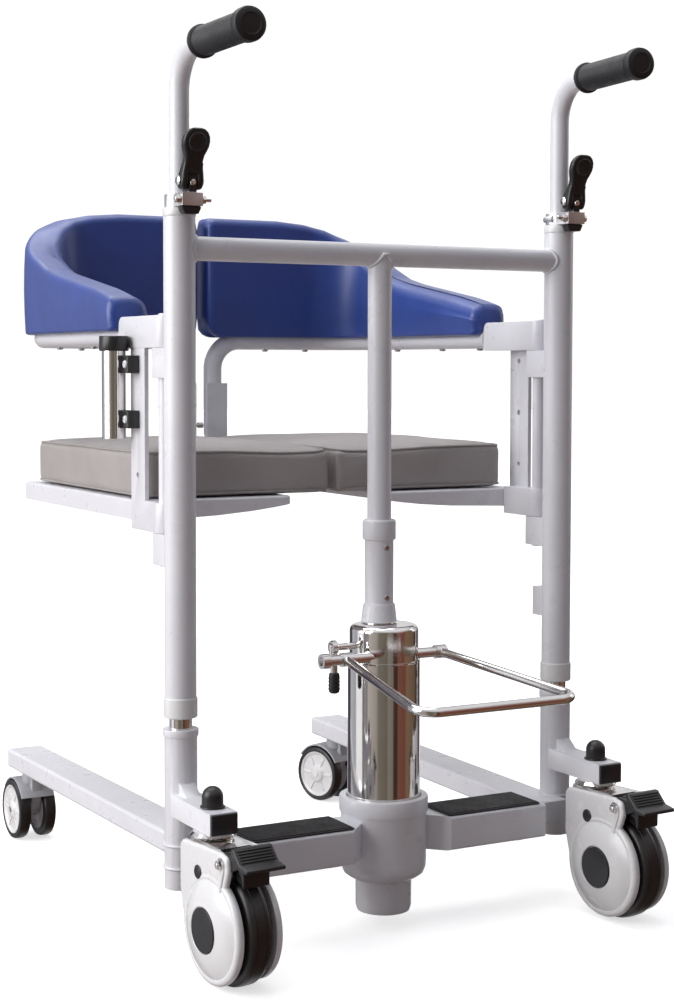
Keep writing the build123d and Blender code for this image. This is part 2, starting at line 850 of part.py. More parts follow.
def rear_wheel(side):
    with BuildPart() as wheel:
        with BuildSketch(across_plane(side, tyre_half)):
            with Locations((rear_trail, rear_wheel_r)):
                Circle(rear_wheel_r)
                Circle(axle_r + running, mode=Mode.SUBTRACT)
        extrude(amount=2 * tyre_half)
        rims = wheel.edges().filter_by(GeomType.CIRCLE).sort_by(SortBy.RADIUS)[-2:]
        fillet(rims, tyre_half / 2)
    save(wheel, f"{side_name(side)}_rear_wheel")


def brake_pedal(side):
    """A shoe over the tyre and a broad sloped tread, pressed down to brake."""
    shoe_half = 16
    tread_half = 24
    with BuildPart() as pedal:
        with BuildSketch(across_plane(side, shoe_half)):
            with BuildLine():
                Polyline((59, 125), (86, 125), (88, 114), (92, 114), (92, 138), (80, 148),
                         (62, 148), close=True)
            make_face()
        extrude(amount=2 * shoe_half)
        with BuildSketch(across_plane(side, tread_half)):
            with BuildLine():
                Polyline((80.5, 150), (80.5, 155), (97, 139), (112, 137), (112, 133), (95, 133),
                         (88, 138), close=True)
            make_face()
        extrude(amount=2 * tread_half)
        with BuildSketch(across_plane(side, shoe_half + 1)):
            with Locations(brake_pivot):
                Circle(brake_bolt_r + running)
        extrude(amount=2 * (shoe_half + 1), mode=Mode.SUBTRACT)
    save(pedal, f"{side_name(side)}_brake_pedal")


# ---------------------------------------------------------------- front casters

def front_plane(side, w):
    """A plane across a front caster at distance w; its x runs to the axle, its y up."""
    turn = radians(front_turn[side])
    origin = (side * front_x + w * cos(turn), front_y + w * sin(turn), 0)
    return Plane(origin=origin, x_dir=(-sin(turn), cos(turn), 0), z_dir=(cos(turn), sin(turn), 0))


def front_fork(side):
    """Stem, hooded body between the twin wheels, and their axle."""
    with BuildPart() as fork:
        rod_up(side * front_x, front_y, (70, 111), stem_r)
        rod_up(side * front_x, front_y, (81, 94), 13)
        with BuildSketch(front_plane(side, -hood_half)):
            with BuildLine():
                body = Polyline((-14, 90), (-16, 60), (-4, 40), (10, 30), (22, 30), (34, 42))
                ThreePointArc(body @ 1, (26, 74), (-2, 90))
                Polyline((-2, 90), (-14, 90))
            make_face()
        extrude(amount=2 * hood_half)
        with BuildSketch(front_plane(side, -front_wheel_w[1] - 1)):
            with Locations((front_trail, front_wheel_r)):
                Circle(front_axle_r)
        extrude(amount=2 * (front_wheel_w[1] + 1))
    save(fork, f"{side_name(side)}_front_fork")


def front_wheels(side):
    with BuildPart() as wheels:
        inner, outer = front_wheel_w
        for w in (-outer, inner):
            with BuildSketch(front_plane(side, w)):
                with Locations((front_trail, front_wheel_r)):
                    Circle(front_wheel_r)
            extrude(amount=outer - inner)
        fillet(wheels.edges().filter_by(GeomType.CIRCLE), edge_r)
        with BuildSketch(front_plane(side, -outer - 1)):
            with Locations((front_trail, front_wheel_r)):
                Circle(front_axle_r + running)
        extrude(amount=2 * (outer + 1), mode=Mode.SUBTRACT)
    save(wheels, f"{side_name(side)}_front_wheels")


crossbar()
leg_end_caps()
arm_end_caps()
stem_caps()
step_pads()
guide_tubes()
pump_housing()
pump_cylinder()
pump_cap()
foot_pedal()
release_lever()
piston_rod()
post_collars()
upper_crossbar()
mast()
mast_sleeve()
sleeve_screws()
hinge_blocks()
hinge_pins()
clamp_collars()
clamp_bands()
seat_latch()
pole_socket()
for half in (-1, 1):
    leg(half)
    upright(half)
    lift_post(half)
    clamp_lever(half)
    handle(half)
    grip(half)
    side_plate(half)
    back_rail(half)
    seat_pan(half)
    cushion(half)
    foam_back(half)
    rear_fork(half)
    rear_covers(half)
    rear_wheel(half)
    brake_pedal(half)
    front_fork(half)
    front_wheels(half)
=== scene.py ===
import bmesh
import bpy
import json
import numpy as np
from math import atan2, cos, hypot, pi, radians, sin, sqrt, tan
from mathutils import Matrix, Vector
from mathutils.bvhtree import BVHTree


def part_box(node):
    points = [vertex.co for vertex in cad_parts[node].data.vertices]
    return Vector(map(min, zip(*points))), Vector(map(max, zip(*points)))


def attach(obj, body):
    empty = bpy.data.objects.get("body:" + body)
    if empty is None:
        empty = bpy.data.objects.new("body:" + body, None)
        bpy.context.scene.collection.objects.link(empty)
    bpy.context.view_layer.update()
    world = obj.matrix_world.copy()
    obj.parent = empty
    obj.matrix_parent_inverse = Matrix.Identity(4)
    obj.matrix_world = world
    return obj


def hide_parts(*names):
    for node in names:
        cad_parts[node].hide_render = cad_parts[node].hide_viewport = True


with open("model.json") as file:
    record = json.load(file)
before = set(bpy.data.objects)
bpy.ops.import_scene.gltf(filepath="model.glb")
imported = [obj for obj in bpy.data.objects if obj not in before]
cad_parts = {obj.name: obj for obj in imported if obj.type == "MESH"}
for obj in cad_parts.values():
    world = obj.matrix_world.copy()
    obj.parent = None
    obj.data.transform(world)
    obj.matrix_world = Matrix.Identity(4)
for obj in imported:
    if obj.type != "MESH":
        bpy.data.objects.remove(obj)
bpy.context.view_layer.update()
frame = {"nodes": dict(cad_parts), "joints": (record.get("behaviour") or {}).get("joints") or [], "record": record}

MM = 0.001
SIDES = {"left": -1, "right": 1}
HANDLE_TURN = {"left": 0, "right": 5}  # degrees by which each push handle points inwards
JOINTS = {j["name"]: j for j in frame["joints"]}
UP = Vector((0, 0, 1))
ACROSS = Vector((1, 0, 0))
AHEAD = Vector((0, 1, 0))


# -------- places taken from the frame

def low(node):
    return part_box(node)[0]


def high(node):
    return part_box(node)[1]


def middle(node):
    return (low(node) + high(node)) / 2


def joint_at(name):
    return Vector(JOINTS[name]["pos_m"])


def joint_axis(name):
    return Vector(JOINTS[name]["axis"]).normalized()


def placed(origin, x, z):
    """A matrix from local millimetres to the frame, with local x and z along two directions."""
    z = Vector(z).normalized()
    x = Vector(x)
    x = (x - x.dot(z) * z).normalized()
    turn = Matrix((x, z.cross(x), z)).transposed().to_4x4()
    turn.translation = origin
    return turn @ Matrix.Scale(MM, 4)


# -------- camera, floor and light

def camera():
    eye = Vector((-1.0456, -1.8180, 0.6449))
    yaw, pitch, roll = radians(28.8), radians(-3.0), radians(0.1)
    ahead = Vector((sin(yaw) * cos(pitch), cos(yaw) * cos(pitch), sin(pitch)))
    data = bpy.data.cameras.new("camera")
    data.sensor_fit = "VERTICAL"
    data.sensor_width = 36
    data.sensor_height = 36
    data.lens = 65.53
    data.shift_x = -0.0073
    data.shift_y = -0.039
    data.clip_end = 100
    view = bpy.data.objects.new("camera", data)
    turn = ahead.to_track_quat("-Z", "Y").to_matrix() @ Matrix.Rotation(roll, 3, "Z")
    view.matrix_world = Matrix.Translation(eye) @ turn.to_4x4()
    bpy.context.scene.collection.objects.link(view)
    bpy.context.scene.camera = view


def soft_box(name, place, size, power):
    """A square area light aimed at the middle of the chair."""
    data = bpy.data.lights.new(name, "AREA")
    data.shape = "SQUARE"
    data.size = size
    data.energy = power
    lamp = bpy.data.objects.new(name, data)
    aim = Vector((0, 0.2, 0.5)) - Vector(place)
    lamp.matrix_world = Matrix.Translation(place) @ aim.to_track_quat("-Z", "Y").to_matrix().to_4x4()
    bpy.context.scene.collection.objects.link(lamp)


# What bright metal mirrors: the colours of the room's walls by bearing, as shares of a full turn
# that starts at -Y and goes through -X, +Y and +X.
ROOM = ((0.0, (0.20, 0.17, 0.14)), (0.045, (0.24, 0.21, 0.17)), (0.055, (0.15, 0.13, 0.10)),
        (0.13, (0.19, 0.17, 0.14)), (0.15, (0.36, 0.32, 0.28)), (0.225, (0.50, 0.45, 0.42)),
        (0.235, (0.22, 0.20, 0.20)), (0.272, (0.40, 0.38, 0.40)), (0.282, (1.0, 1.0, 1.0)),
        (0.352, (1.0, 1.0, 1.0)), (0.362, (0.42, 0.42, 0.46)), (0.44, (0.52, 0.52, 0.56)),
        (0.46, (0.05, 0.04, 0.06)), (0.52, (0.10, 0.09, 0.10)), (0.56, (0.75, 0.75, 0.78)),
        (0.65, (0.80, 0.78, 0.76)), (0.67, (0.05, 0.035, 0.04)), (0.75, (0.06, 0.04, 0.035)),
        (0.77, (0.15, 0.095, 0.055)), (0.87, (0.20, 0.13, 0.08)), (0.89, (0.17, 0.06, 0.045)),
        (0.955, (0.19, 0.08, 0.055)), (0.968, (0.05, 0.025, 0.02)), (1.0, (0.07, 0.04, 0.03)))
CEILING = (0.85, 0.85, 0.88)
AMBIENT = (0.14, 0.142, 0.165)  # what matt surfaces receive from all round
BACKDROP = (1.05, 1.05, 1.05)  # what the camera sees behind the chair


def studio():
    soft_box("key", (-3.0, 0.3, 1.5), 2.4, 92)
    soft_box("overhead", (-0.4, 0.9, 3.2), 2.6, 62)
    soft_box("fill", (1.2, -3.4, 1.7), 2.4, 2)
    soft_box("rim", (3.0, 0.3, 1.3), 1.8, 10)
    world = bpy.data.worlds.new("studio")
    bpy.context.scene.world = world
    world.use_nodes = True
    tree = world.node_tree
    parts = components(tree, tree.nodes.new("ShaderNodeTexCoord").outputs["Generated"])
    bearing = maths(tree, "ARCTAN2", parts["X"], parts["Y"])
    walls = tree.nodes.new("ShaderNodeValToRGB")
    ramp = walls.color_ramp
    for element, (place, color) in zip(ramp.elements, (ROOM[0], ROOM[-1])):
        element.position = place
        element.color = (*color, 1)
    for place, color in ROOM[1:-1]:
        ramp.elements.new(place).color = (*color, 1)
    tree.links.new(ranged(tree, bearing, 0, 1, -pi, pi), walls.inputs[0])
    seen = tree.nodes.new("ShaderNodeLightPath").outputs
    color = walls.outputs[0]
    for share, other in ((ranged(tree, parts["Z"], 0, 1, 0.3, 0.75), CEILING),
                         (seen["Is Diffuse Ray"], AMBIENT), (seen["Is Camera Ray"], BACKDROP)):
        color = mixed(tree, share, color, other)
    tree.links.new(color, tree.nodes["Background"].inputs["Color"])
    view = bpy.context.scene.view_settings
    view.view_transform = "Standard"
    view.look = "None"


# -------- finishes

def texture(tree, kind, coords, **inputs):
    node = tree.nodes.new(kind)
    tree.links.new(coords, node.inputs["Vector"])
    for name, value in inputs.items():
        node.inputs[name.replace("_", " ")].default_value = value
    return node


def feed(tree, socket, value):
    """Links another socket to this one, or sets a number or a colour on it."""
    if isinstance(value, bpy.types.NodeSocket):
        tree.links.new(value, socket)
    else:
        socket.default_value = (*value, 1) if isinstance(value, tuple) else value


def maths(tree, operation, *values):
    node = tree.nodes.new("ShaderNodeMath")
    node.operation = operation
    for socket, value in zip(node.inputs, values):
        feed(tree, socket, value)
    return node.outputs[0]


def components(tree, vector):
    node = tree.nodes.new("ShaderNodeSeparateXYZ")
    tree.links.new(vector, node.inputs[0])
    return node.outputs


def ranged(tree, value, lowest, highest, start=0.3, end=0.7):
    """Stretches a value from start..end to lowest..highest."""
    node = tree.nodes.new("ShaderNodeMapRange")
    limits = {"From Min": start, "From Max": end, "To Min": lowest, "To Max": highest}
    for name, limit in limits.items():
        node.inputs[name].default_value = limit
    tree.links.new(value, node.inputs["Value"])
    return node.outputs[0]


def mixed(tree, factor, a, b):
    node = tree.nodes.new("ShaderNodeMix")
    node.data_type = "RGBA"
    for name, value in (("A", a), ("B", b), ("Factor", factor)):
        feed(tree, node.inputs[name], value)
    return node.outputs["Result"]


def finish(name, dark, light, rough, metal=0.0, cloud=14, grain=(), weave=0, **sockets):
    """A procedural material: slow colour variation between two tones, uneven gloss and fine
    relief. Each grain is (texture, scale, height in metres); weave is a pitch in metres."""
    material = bpy.data.materials.new(name)
    material.use_nodes = True
    tree = material.node_tree
    shader = tree.nodes["Principled BSDF"]
    shader.inputs["Metallic"].default_value = metal
    for socket, value in sockets.items():
        shader.inputs[socket.replace("_", " ")].default_value = value
    coords = tree.nodes.new("ShaderNodeTexCoord").outputs["Object"]
    slow = texture(tree, "ShaderNodeTexNoise", coords, Scale=cloud, Detail=5.0, Roughness=0.6)
    factor = ranged(tree, slow.outputs[0], 0, 1)
    tree.links.new(mixed(tree, factor, dark, light), shader.inputs["Base Color"])
    smears = texture(tree, "ShaderNodeTexNoise", coords, Scale=cloud * 3.3, Detail=6.0)
    tree.links.new(ranged(tree, smears.outputs[0], *rough), shader.inputs["Roughness"])
    normal = None
    for kind, scale, height in grain:
        if kind == "cells":
            relief = texture(tree, "ShaderNodeTexVoronoi", coords, Scale=scale).outputs["Distance"]
        else:
            relief = texture(tree, "ShaderNodeTexNoise", coords, Scale=scale, Detail=3.0).outputs[0]
        normal = bump(tree, relief, height, normal)
    if weave:
        normal = bump(tree, threads(tree, coords, weave), weave * 0.12, normal)
    if normal:
        tree.links.new(normal, shader.inputs["Normal"])
    return material


def bump(tree, relief, height, normal):
    node = tree.nodes.new("ShaderNodeBump")
    node.inputs["Strength"].default_value = 0.8
    node.inputs["Distance"].default_value = height
    tree.links.new(relief, node.inputs["Height"])
    if normal:
        tree.links.new(normal, node.inputs["Normal"])
    return node.outputs[0]


def threads(tree, coords, pitch):
    """A plain weave: the sum of a sine along each axis."""
    parts = components(tree, coords)
    x, y, z = (maths(tree, "SINE", maths(tree, "MULTIPLY", parts[axis], 2 * pi / pitch))
               for axis in "XYZ")
    return maths(tree, "ADD", maths(tree, "ADD", x, y), z)


PAINT = finish("white_powder_coat", (0.76, 0.76, 0.80), (0.82, 0.82, 0.86), (0.26, 0.36),
               grain=(("noise", 1000, 0.00002),), Coat_Weight=0.15, Coat_Roughness=0.2)
SHELL = finish("white_moulding", (0.80, 0.80, 0.81), (0.85, 0.85, 0.86), (0.2, 0.3),
               grain=(("noise", 900, 0.00002),), Coat_Weight=0.2)
CHROME = finish("chrome_plate", (0.72, 0.70, 0.69), (0.80, 0.79, 0.78), (0.05, 0.13), metal=1.0,
                grain=(("noise", 60, 0.00003),))
ZINC = finish("zinc_plate", (0.42, 0.42, 0.43), (0.55, 0.55, 0.56), (0.25, 0.4), metal=1.0,
              grain=(("noise", 700, 0.00003),))
STEEL = finish("bright_steel", (0.60, 0.60, 0.62), (0.72, 0.72, 0.74), (0.3, 0.42), metal=0.85,
               grain=(("noise", 300, 0.00002),))
BLACK = finish("black_moulding", (0.010, 0.010, 0.011), (0.018, 0.018, 0.020), (0.3, 0.42),
               grain=(("cells", 900, 0.00004),))
RUBBER = finish("black_rubber", (0.008, 0.0075, 0.009), (0.018, 0.017, 0.020), (0.42, 0.6),
                grain=(("noise", 1100, 0.00005),))
TYRE = finish("tyre_rubber", (0.012, 0.010, 0.010), (0.022, 0.019, 0.019), (0.3, 0.45), cloud=30,
              grain=(("noise", 800, 0.00004),))
GREY = finish("grey_moulding", (0.42, 0.43, 0.46), (0.50, 0.51, 0.54), (0.35, 0.5),
              grain=(("cells", 1100, 0.00004),))
FOAM = finish("blue_skinned_foam", (0.010, 0.040, 0.23), (0.016, 0.056, 0.30), (0.30, 0.44),
              cloud=9, grain=(("cells", 520, 0.00005), ("noise", 90, 0.00018)),
              Sheen_Weight=0.15, Coat_Weight=0.3, Coat_Roughness=0.42)
VINYL = finish("grey_upholstery", (0.385, 0.355, 0.345), (0.45, 0.42, 0.41), (0.45, 0.6),
               cloud=8, weave=0.0011, grain=(("noise", 45, 0.0004),), Sheen_Weight=0.03)
SEAM = finish("grey_piping", (0.34, 0.315, 0.305), (0.40, 0.37, 0.36), (0.5, 0.62), cloud=60,
              weave=0.0009)


# -------- mesh tools, in local millimetres

def skin(bm, rings, place, paint=0, closed=False):
    """Joins rings of points and caps both ends, or joins the last ring to the first if closed."""
    rows = [[bm.verts.new(place @ Vector(p)) for p in ring] for ring in rings]
    pairs = list(zip(rows, rows[1:]))
    if closed:
        pairs.append((rows[-1], rows[0]))
    count = len(rows[0])
    for lower, upper in pairs:
        for i in range(count):
            j = (i + 1) % count
            face = bm.faces.new((lower[i], lower[j], upper[j], upper[i]))
            face.material_index = paint
    if not closed:
        for row in (rows[0], rows[-1]):
            bm.faces.new(row).material_index = paint


def eased(points, radius, steps=4):
    """A closed outline with each corner turned into a small curve."""
    count = len(points)
    out = []
    for i, point in enumerate(points):
        here = Vector(point)
        before = Vector(points[i - 1]) - here
        after = Vector(points[(i + 1) % count]) - here
        turn = before.angle(after)
        if turn > radians(172):
            out.append(tuple(here))
            continue
        cut = min(radius / tan(turn / 2), before.length * 0.48, after.length * 0.48)
        start = here + before.normalized() * cut
        end = here + after.normalized() * cut
        for k in range(steps + 1):
            t = k / steps
            out.append(tuple(start * (1 - t) ** 2 + here * (2 * t * (1 - t)) + end * t * t))
    return out


def grown(outline, amount):
    """A closed outline moved outwards, or inwards if amount is negative."""
    points = [Vector(p) for p in outline]
    count = len(points)
    area = sum(points[i - 1].cross(points[i]) for i in range(count))
    sign = 1 if area > 0 else -1
    moved = []
    for i, here in enumerate(points):
        first = (here - points[i - 1]).normalized()
        second = (points[(i + 1) % count] - here).normalized()
        a = Vector((first.y, -first.x)) * sign
        b = Vector((second.y, -second.x)) * sign
        moved.append(here + (a + b) / max(1 + a.dot(b), 0.4) * amount)
    return moved


def prism(bm, outline, bottom, top, place, paint=0, ease=0.8, steps=3):
    """An outline in local x and y, raised between two heights, with rounded rims."""
    ease = min(ease, abs(top - bottom) / 2)
    up = 1 if top > bottom else -1
    rings = []
    for end, way in ((bottom, up), (top, -up)):
        levels = []
        for k in range(steps + 1):
            a = k / steps * pi / 2
            inset = ease * (1 - sin(a))
            height = end + way * ease * (1 - cos(a))
            levels.append([(p.x, p.y, height) for p in grown(outline, -inset)])
        rings += levels if end == bottom else levels[::-1]
    skin(bm, rings, place, paint)


def circle(radius, count):
    return [(radius * cos(2 * pi * k / count), radius * sin(2 * pi * k / count))
            for k in range(count)]


def lathe(bm, profile, place, turns=56, paint=0, closed=False):
    """Revolves (radius, height) points about local z."""
    rings = []
    for radius, height in profile:
        rings.append([(x, y, height) for x, y in circle(max(radius, 0.01), turns)])
    skin(bm, rings, place, paint, closed=closed)


def tube(bm, path, radius, sides=16, closed=False):
    """A round skin along points in the frame, in metres. The radius is in millimetres, a number
    or a function of the share of the way along."""
    points = [Vector(p) for p in path]
    count = len(points)
    normal = None
    rings = []
    for i, here in enumerate(points):
        if closed:
            along = points[(i + 1) % count] - points[i - 1]
        else:
            along = points[min(i + 1, count - 1)] - points[max(i - 1, 0)]
        along.normalize()
        if normal is None:
            normal = along.orthogonal().normalized()
        normal = (normal - normal.dot(along) * along).normalized()
        other = along.cross(normal)
        r = (radius(i / (count - 1)) if callable(radius) else radius) * MM
        rings.append([here + normal * a + other * b for a, b in circle(r, sides)])
    skin(bm, rings, Matrix(), closed=closed)


def hexagon(bm, place, across, bottom, top):
    """A hexagonal bolt head or nut with a chamfered crown and a small dimple."""
    r = across / 2 / cos(pi / 6)
    lathe(bm, ((r, bottom), (r, top - 0.8), (r - 1, top)), place, turns=6)
    lathe(bm, ((across * 0.28, top - 0.5), (across * 0.28, top + 0.5), (across * 0.2, top + 0.9)),
          place, turns=20)


def make(name, bm, body, materials, replaces=(), sharp=38, levels=0):
    """Turns a bmesh into a piece that rides on a body."""
    bmesh.ops.recalc_face_normals(bm, faces=bm.faces)
    mesh = bpy.data.meshes.new(name)
    bm.to_mesh(mesh)
    bm.free()
    mesh.shade_smooth()
    mesh.set_sharp_from_angle(angle=radians(sharp))
    for material in materials:
        mesh.materials.append(material)
    piece = bpy.data.objects.new(name, mesh)
    bpy.context.scene.collection.objects.link(piece)
    if levels:
        rounding = piece.modifiers.new("rounding", "SUBSURF")
        rounding.levels = levels
        rounding.render_levels = levels
    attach(piece, body)
    if replaces:
        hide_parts(*replaces)
    return piece


def body_of(node):
    bodies = frame["record"]["behaviour"]["bodies"]
    return next(body for body, nodes in bodies.items() if node in nodes)


def softened(node, material, width=1.0, upper=None, above=0.0):
    """A copy of a CAD node with its sharp edges rounded, which stands for the node. What lies
    above a height can take a second finish."""
    bm = bmesh.new()
    bm.from_mesh(frame["nodes"][node].data)
    bmesh.ops.remove_doubles(bm, verts=bm.verts, dist=0.00002)
    bmesh.ops.dissolve_limit(bm, angle_limit=radians(1), verts=bm.verts, edges=bm.edges)
    if upper:
        every = bm.verts[:] + bm.edges[:] + bm.faces[:]
        bmesh.ops.bisect_plane(bm, geom=every, plane_co=UP * above, plane_no=UP)
    for face in bm.faces:
        face.material_index = 1 if upper and face.calc_center_median().z > above else 0
    paints = (material, upper) if upper else (material,)
    piece = make(f"{node}_finished", bm, body_of(node), paints, (node,), 180)
    rounding = piece.modifiers.new("soft edges", "BEVEL")
    rounding.width = width * MM
    rounding.segments = 3
    rounding.limit_method = "ANGLE"
    rounding.angle_limit = radians(32)
    rounding.harden_normals = True
    rounding.use_clamp_overlap = True
    return piece


def dress(material, *nodes):
    """Gives CAD nodes whose shape is right their finish."""
    for node in nodes:
        mesh = frame["nodes"][node].data
        mesh.materials.clear()
        mesh.materials.append(material)


# -------- foam arms and back

FOAM_THICK = 48
FOAM_CORNER = 108  # radius of the outer corner in plan
RAIL_RADIUS = 12.5


def foam_height(share):
    """Top of the foam along its length, from the arm's end (0) to the split (1)."""
    shares = (0.0, 0.05, 0.10, 0.33, 0.40, 0.48, 0.55, 0.605, 0.665, 0.725, 0.80, 1.0)
    heights = (722, 729, 735, 757, 766, 784, 804, 824, 838, 845, 848.5, 848.5)
    return float(np.interp(share, shares, heights))


def foam_ring(half, bottom, top, outer_r, inner_r, groove_z, inset):
    """The foam's section: (outward, up) points, with the rail's groove below."""
    half -= inset
    top -= inset
    groove = 13.6
    foot = bottom + inset * 0.6
    edge = sqrt(max(groove ** 2 - (foot - groove_z) ** 2, 1))
    start = atan2(foot - groove_z, edge)
    points = [(groove * cos(a), groove_z + groove * sin(a))
              for a in np.linspace(pi - start, start, 11)]
    corners = ((half, foot, 4, -90), (half, top, outer_r, 0), (-half, top, inner_r, 90),
               (-half, foot, 4, 180))
    for k, (n, z, r, turn) in enumerate(corners):
        r = min(r, (top - foot) * 0.45, half * 0.98)
        cn = n - r if n > 0 else n + r
        cz = z - r if z == top else z + r
        for a in np.linspace(radians(turn), radians(turn + 90), 9):
            points.append((cn + r * cos(a), cz + r * sin(a)))
        if k in (0, 2):
            way = 1 if k == 0 else -1
            tall = top - foot
            for t in (0.25, 0.5, 0.75):
                rise = t if k == 0 else 1 - t
                points.append((n + way * 1.6 * sin(pi * t), foot + r + (tall - 2 * r) * rise))
        if k == 1:
            for t in (0.3, 0.5, 0.7):
                points.append((half * (1 - 2 * t) * 0.8, top + 0.9 * sin(pi * t)))
    return points


def foam_line(side, count=110):
    """Places along the middle of the foam, with the outward direction at each."""
    box_low, box_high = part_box(f"{side}_foam_back")
    s = SIDES[side]
    outer_x = box_high.x if s > 0 else -box_low.x
    split = box_low.x if s > 0 else -box_high.x
    corner = FOAM_CORNER * MM
    bend = corner - FOAM_THICK / 2 * MM
    centre = Vector((outer_x - corner, box_high.y - corner))
    arm = centre.y - box_low.y
    turn = bend * pi / 2
    back = centre.x - split
    total = arm + turn + back
    out = []
    for k in range(count + 1):
        d = total * k / count
        if d <= arm:
            place, way = Vector((centre.x + bend, box_low.y + d)), Vector((1, 0))
        elif d <= arm + turn:
            a = (d - arm) / bend
            way = Vector((cos(a), sin(a)))
            place = centre + way * bend
        else:
            place, way = Vector((centre.x - (d - arm - turn), centre.y + bend)), Vector((0, 1))
        out.append((Vector((s * place.x, place.y, 0)), Vector((s * way.x, way.y, 0)), d, total))
    return out


def foam_back(side):
    """One self-skinned moulding: a low rounded arm that rises round the corner to the back."""
    bottom = low(f"{side}_foam_back").z / MM
    groove_z = high(f"{side}_back_rail").z / MM - RAIL_RADIUS
    full_half = FOAM_THICK / 2
    rings = []
    for place, way, d, total in foam_line(side):
        share = d / total
        end = min(d, total - d) / MM
        r = 7 if d < total / 2 else 9
        inset = r - sqrt(max(r * r - (r - min(end, r)) ** 2, 0)) if end < r else 0
        # the lower corner beside the split is rounded by raising the underside
        gone = max(0, full_half - (total - d) / MM)
        lift = full_half - sqrt(full_half ** 2 - min(gone, full_half - 0.5) ** 2)
        half = full_half - 1.2 * min(1, max(0, (share - 0.5) * 6))
        inner_r = 21 - 9 * min(1, max(0, (share - 0.3) / 0.3))
        ring = foam_ring(half, bottom + lift, foam_height(share), 9, inner_r, groove_z + lift * 0.9,
                         inset)
        rings.append([place + way * (n * MM) + UP * (z * MM) for n, z in ring])
    bm = bmesh.new()
    skin(bm, rings, Matrix())
    piece = make(f"{side}_foam", bm, f"{side}_seat_half", (FOAM,),
                 (f"{side}_foam_back",), 60)


# -------- cushions

CLOTH_FRAMES = 20
SWELL = 0.003  # the most that the cloth may move away from its block
START_SHRINK = 0.002


def swollen_cushion():
    """The left cushion as cloth blown up a little from its CAD block."""
    node = frame["nodes"]["left_cushion"]
    bm = bmesh.new()
    bm.from_mesh(node.data)
    bmesh.ops.remove_doubles(bm, verts=bm.verts, dist=0.00002)
    mesh = bpy.data.meshes.new("cushion_start")
    bm.to_mesh(mesh)
    bm.free()
    centre = middle("left_cushion")
    size = high("left_cushion") - low("left_cushion")
    shrink = Matrix.Diagonal([1 - START_SHRINK / side for side in size]).to_4x4()
    mesh.transform(Matrix.Translation(centre) @ shrink @ Matrix.Translation(-centre))
    pad = bpy.data.objects.new("cushion_start", mesh)
    bpy.context.scene.collection.objects.link(pad)
    remesh = pad.modifiers.new("remesh", "REMESH")
    remesh.mode = "VOXEL"
    remesh.voxel_size = 0.0055
    settle(pad)
    start = np.array([v.co for v in pad.data.vertices])
    cloth = pad.modifiers.new("cloth", "CLOTH")
    cloth.settings.quality = 5
    cloth.settings.use_pressure = True
    cloth.settings.uniform_pressure_force = 4
    cloth.settings.tension_stiffness = 25
    cloth.settings.bending_stiffness = 3
    cloth.settings.effector_weights.gravity = 0
    for step in range(1, CLOTH_FRAMES + 1):
        bpy.context.scene.frame_set(step)
    settle(pad)
    bpy.context.scene.frame_set(1)
    now = np.array([v.co for v in pad.data.vertices])
    move = now - start
    length = np.linalg.norm(move, axis=1, keepdims=True)
    now = start + move * np.minimum(1, SWELL / np.maximum(length, 1e-9))
    return pad, crowned(now)


def settle(obj):
    """Applies an object's modifiers to its mesh."""
    graph = bpy.context.evaluated_depsgraph_get()
    mesh = bpy.data.meshes.new_from_object(obj.evaluated_get(graph))
    obj.modifiers.clear()
    obj.data = mesh


def crowned(points):
    """Crowns the top, flattens what rests on the pan and adds a few slack folds."""
    crown_height, rim_drop, sag_depth = 0.006, 0.003, 0.006
    slack_height, front_wave = 0.0006, 0.0012
    floor_z = low("left_cushion").z
    top_z = high("left_cushion").z
    centre = middle("left_cushion")
    half = (high("left_cushion") - low("left_cushion")) / 2
    for p in points:
        u = (p[0] - centre.x) / half.x
        v = (p[1] - centre.y) / half.y
        rise = (p[2] - floor_z) / (top_z - floor_z)
        if rise > 0.5:
            crown = max(0, 1 - u * u) * max(0, 1 - v * v)
            p[2] += (crown_height * crown - rim_drop) * (rise - 0.5) * 2
            front_sag = max(0, -v) ** 6 * max(0, 1 - ((u - 0.55) / 0.6) ** 2)
            p[2] -= sag_depth * front_sag * (rise - 0.5) * 2
        slack = sin(u * 5 + v * 2.2) * sin(v * 6.5 - u) * slack_height
        p[2] += slack if rise > 0.85 else 0
        if v < -0.85:
            p[1] -= front_wave * sin(u * 9 + rise * 2) * sin(pi * rise)
        p[2] = max(p[2], floor_z + 0.0002)
        p[0] = min(p[0], high("left_cushion").x + 0.0004)
    return points


def piping(skin_tree, side, level, name):
    """A sewn cord round the cushion, laid on its skin at one height."""
    box_low, box_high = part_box("left_cushion")
    inset, corner, spacing = 0.004, 0.016, 0.006
    rim = [(box_low.x + inset, box_low.y + inset), (box_high.x - inset, box_low.y + inset),
           (box_high.x - inset, box_high.y - inset), (box_low.x + inset, box_high.y - inset)]
    outline = eased(rim, corner, steps=6)
    dense = []
    for i, a in enumerate(outline):
        b = outline[(i + 1) % len(outline)]
        steps = max(1, int(hypot(b[0] - a[0], b[1] - a[1]) / spacing))
        for k in range(steps):
            dense.append(Vector(a).lerp(Vector(b), k / steps))
    path = []
    for p in dense:
        hit = skin_tree.find_nearest(Vector((p.x, p.y, level)))
        path.append(hit[0] + hit[1] * 0.0004)
    for _ in range(3):
        path = [(path[i - 1] + path[i] * 2 + path[(i + 1) % len(path)]) / 4
                for i in range(len(path))]
    if side == "right":
        path = [Vector((-p.x, p.y, p.z)) for p in path]
    bm = bmesh.new()
    tube(bm, path, 1.5, sides=8, closed=True)
    make(name, bm, f"{side}_seat_half", (SEAM,))


